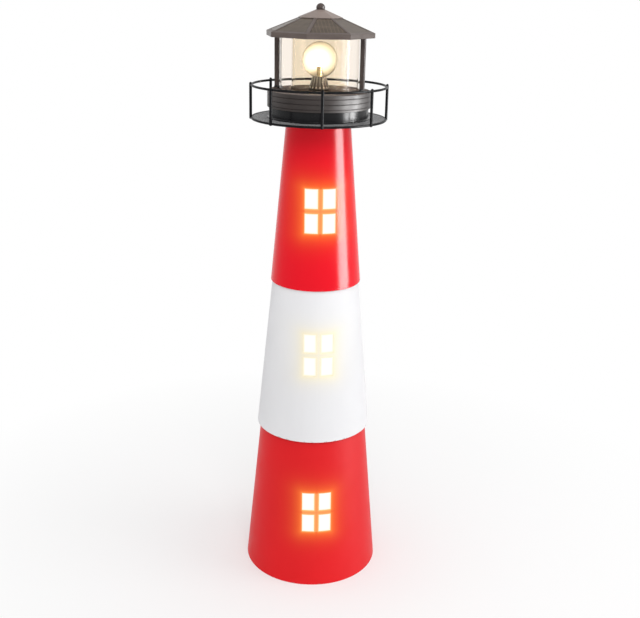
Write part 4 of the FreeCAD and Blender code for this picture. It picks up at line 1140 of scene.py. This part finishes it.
class LIGHTHOUSE_OT_stage(Operator):
    """Set out the floor, the lights, the world and the camera"""

    bl_idname = "lighthouse.stage"
    bl_label = "Stage"

    def execute(self, context):
        scene = context.scene
        stage = scene.lighthouse_stage
        scene.view_settings.view_transform = "Standard"
        self.floor(stage)
        self.world(scene, stage)
        key = soft_light("key_right", stage.key, wide=0.7, tall=1.3, azimuth=72,
                         distance=1.25, height=0.6)
        key.visible_glossy = False
        soft_light("fill_front", stage.fill, wide=1.0, tall=0.8, azimuth=0, distance=1.5,
                   height=1.6)
        strip = soft_light("gloss_right", stage.gloss, wide=0.66, tall=1.3, azimuth=71,
                           distance=1.25, height=0.45)
        strip.visible_diffuse = False
        self.camera(scene, stage)
        return {"FINISHED"}

    def floor(self, stage):
        """A pale floor that keeps the shadow near the foot and is white further out."""
        bm = bmesh.new()
        bmesh.ops.create_circle(bm, cap_ends=True, segments=96, radius=9)
        mesh = finished(bm, "floor")
        finish = Finish("pale_floor", Base_Color=stage.floor, Roughness=0.9,
                        Specular_IOR_Level=0.0)
        glow = finish.node("ShaderNodeEmission", {"Color": WHITE})
        away = hypotenuse(finish.x, finish.y).span(0.12, 0.5, 0.35, 1)
        blend = finish.node("ShaderNodeMixShader", {
            0: finish.seen() * away, 1: Value(finish, finish.shader.outputs[0]), 2: glow[0]})
        finish.fill(finish.tree.nodes["Material Output"], {"Surface": blend[0]})
        mesh.materials.append(finish.material)
        item = link("floor", mesh)

    def world(self, scene, stage):
        """Even light from all round, behind a background that is seen white."""
        world = bpy.data.worlds.new("studio")
        scene.world = world
        nodes = Nodes(world)
        nodes.fill(nodes.tree.nodes["Background"], {
            "Color": WHITE, "Strength": nodes.seen().span(0, 1, stage.ambient, 1)})

    def camera(self, scene, stage):
        data = bpy.data.cameras.new("camera")
        data.sensor_width = 36
        data.lens = stage.focal
        data.clip_start = 0.01
        item = link("camera", data)
        side = Matrix.Rotation(stage.camera_side, 4, "Z")
        place = Matrix.Translation((stage.camera_shift, -stage.camera_distance,
                                    stage.camera_height))
        tilt = Matrix.Rotation(math.pi / 2 - stage.camera_pitch, 4, "X")
        roll = Matrix.Rotation(stage.camera_roll, 4, "Z")
        item.matrix_world = side @ place @ tilt @ roll
        scene.camera = item


class LIGHTHOUSE_PT_panel(Panel):
    """The lighthouse's pieces, in the sidebar"""

    bl_idname = "LIGHTHOUSE_PT_panel"
    bl_label = "Lighthouse"
    bl_space_type = "VIEW_3D"
    bl_region_type = "UI"
    bl_category = "Lighthouse"

    def draw(self, context):
        for operator in OPERATORS:
            self.layout.operator(operator.bl_idname)
        for name in SETTINGS:
            box = self.layout.box()
            group = getattr(context.scene, name)
            for prop in group.__annotations__:
                box.prop(group, prop)


SETTINGS = {
    "lighthouse_tower": TowerSettings,
    "lighthouse_glow": GlowSettings,
    "lighthouse_gallery": GallerySettings,
    "lighthouse_lantern": LanternSettings,
    "lighthouse_stage": StageSettings,
}
OPERATORS = (
    LIGHTHOUSE_OT_tower,
    LIGHTHOUSE_OT_rail,
    LIGHTHOUSE_OT_collar,
    LIGHTHOUSE_OT_lantern_base,
    LIGHTHOUSE_OT_lens,
    LIGHTHOUSE_OT_posts,
    LIGHTHOUSE_OT_roof,
    LIGHTHOUSE_OT_rotor,
    LIGHTHOUSE_OT_works,
    LIGHTHOUSE_OT_stage,
)
CLASSES = (*SETTINGS.values(), *OPERATORS, LIGHTHOUSE_PT_panel)


def register():
    for kind in CLASSES:
        bpy.utils.register_class(kind)
    for name, group in SETTINGS.items():
        setattr(bpy.types.Scene, name, PointerProperty(type=group))


def unregister():
    for name in SETTINGS:
        delattr(bpy.types.Scene, name)
    for kind in reversed(CLASSES):
        bpy.utils.unregister_class(kind)


def main():
    register()
    bpy.ops.lighthouse.tower()
    bpy.ops.lighthouse.rail()
    bpy.ops.lighthouse.collar()
    bpy.ops.lighthouse.lantern_base()
    bpy.ops.lighthouse.lens()
    bpy.ops.lighthouse.posts()
    bpy.ops.lighthouse.roof()
    bpy.ops.lighthouse.rotor()
    bpy.ops.lighthouse.works()
    bpy.ops.lighthouse.stage()


if __name__ == "__main__":
    main()
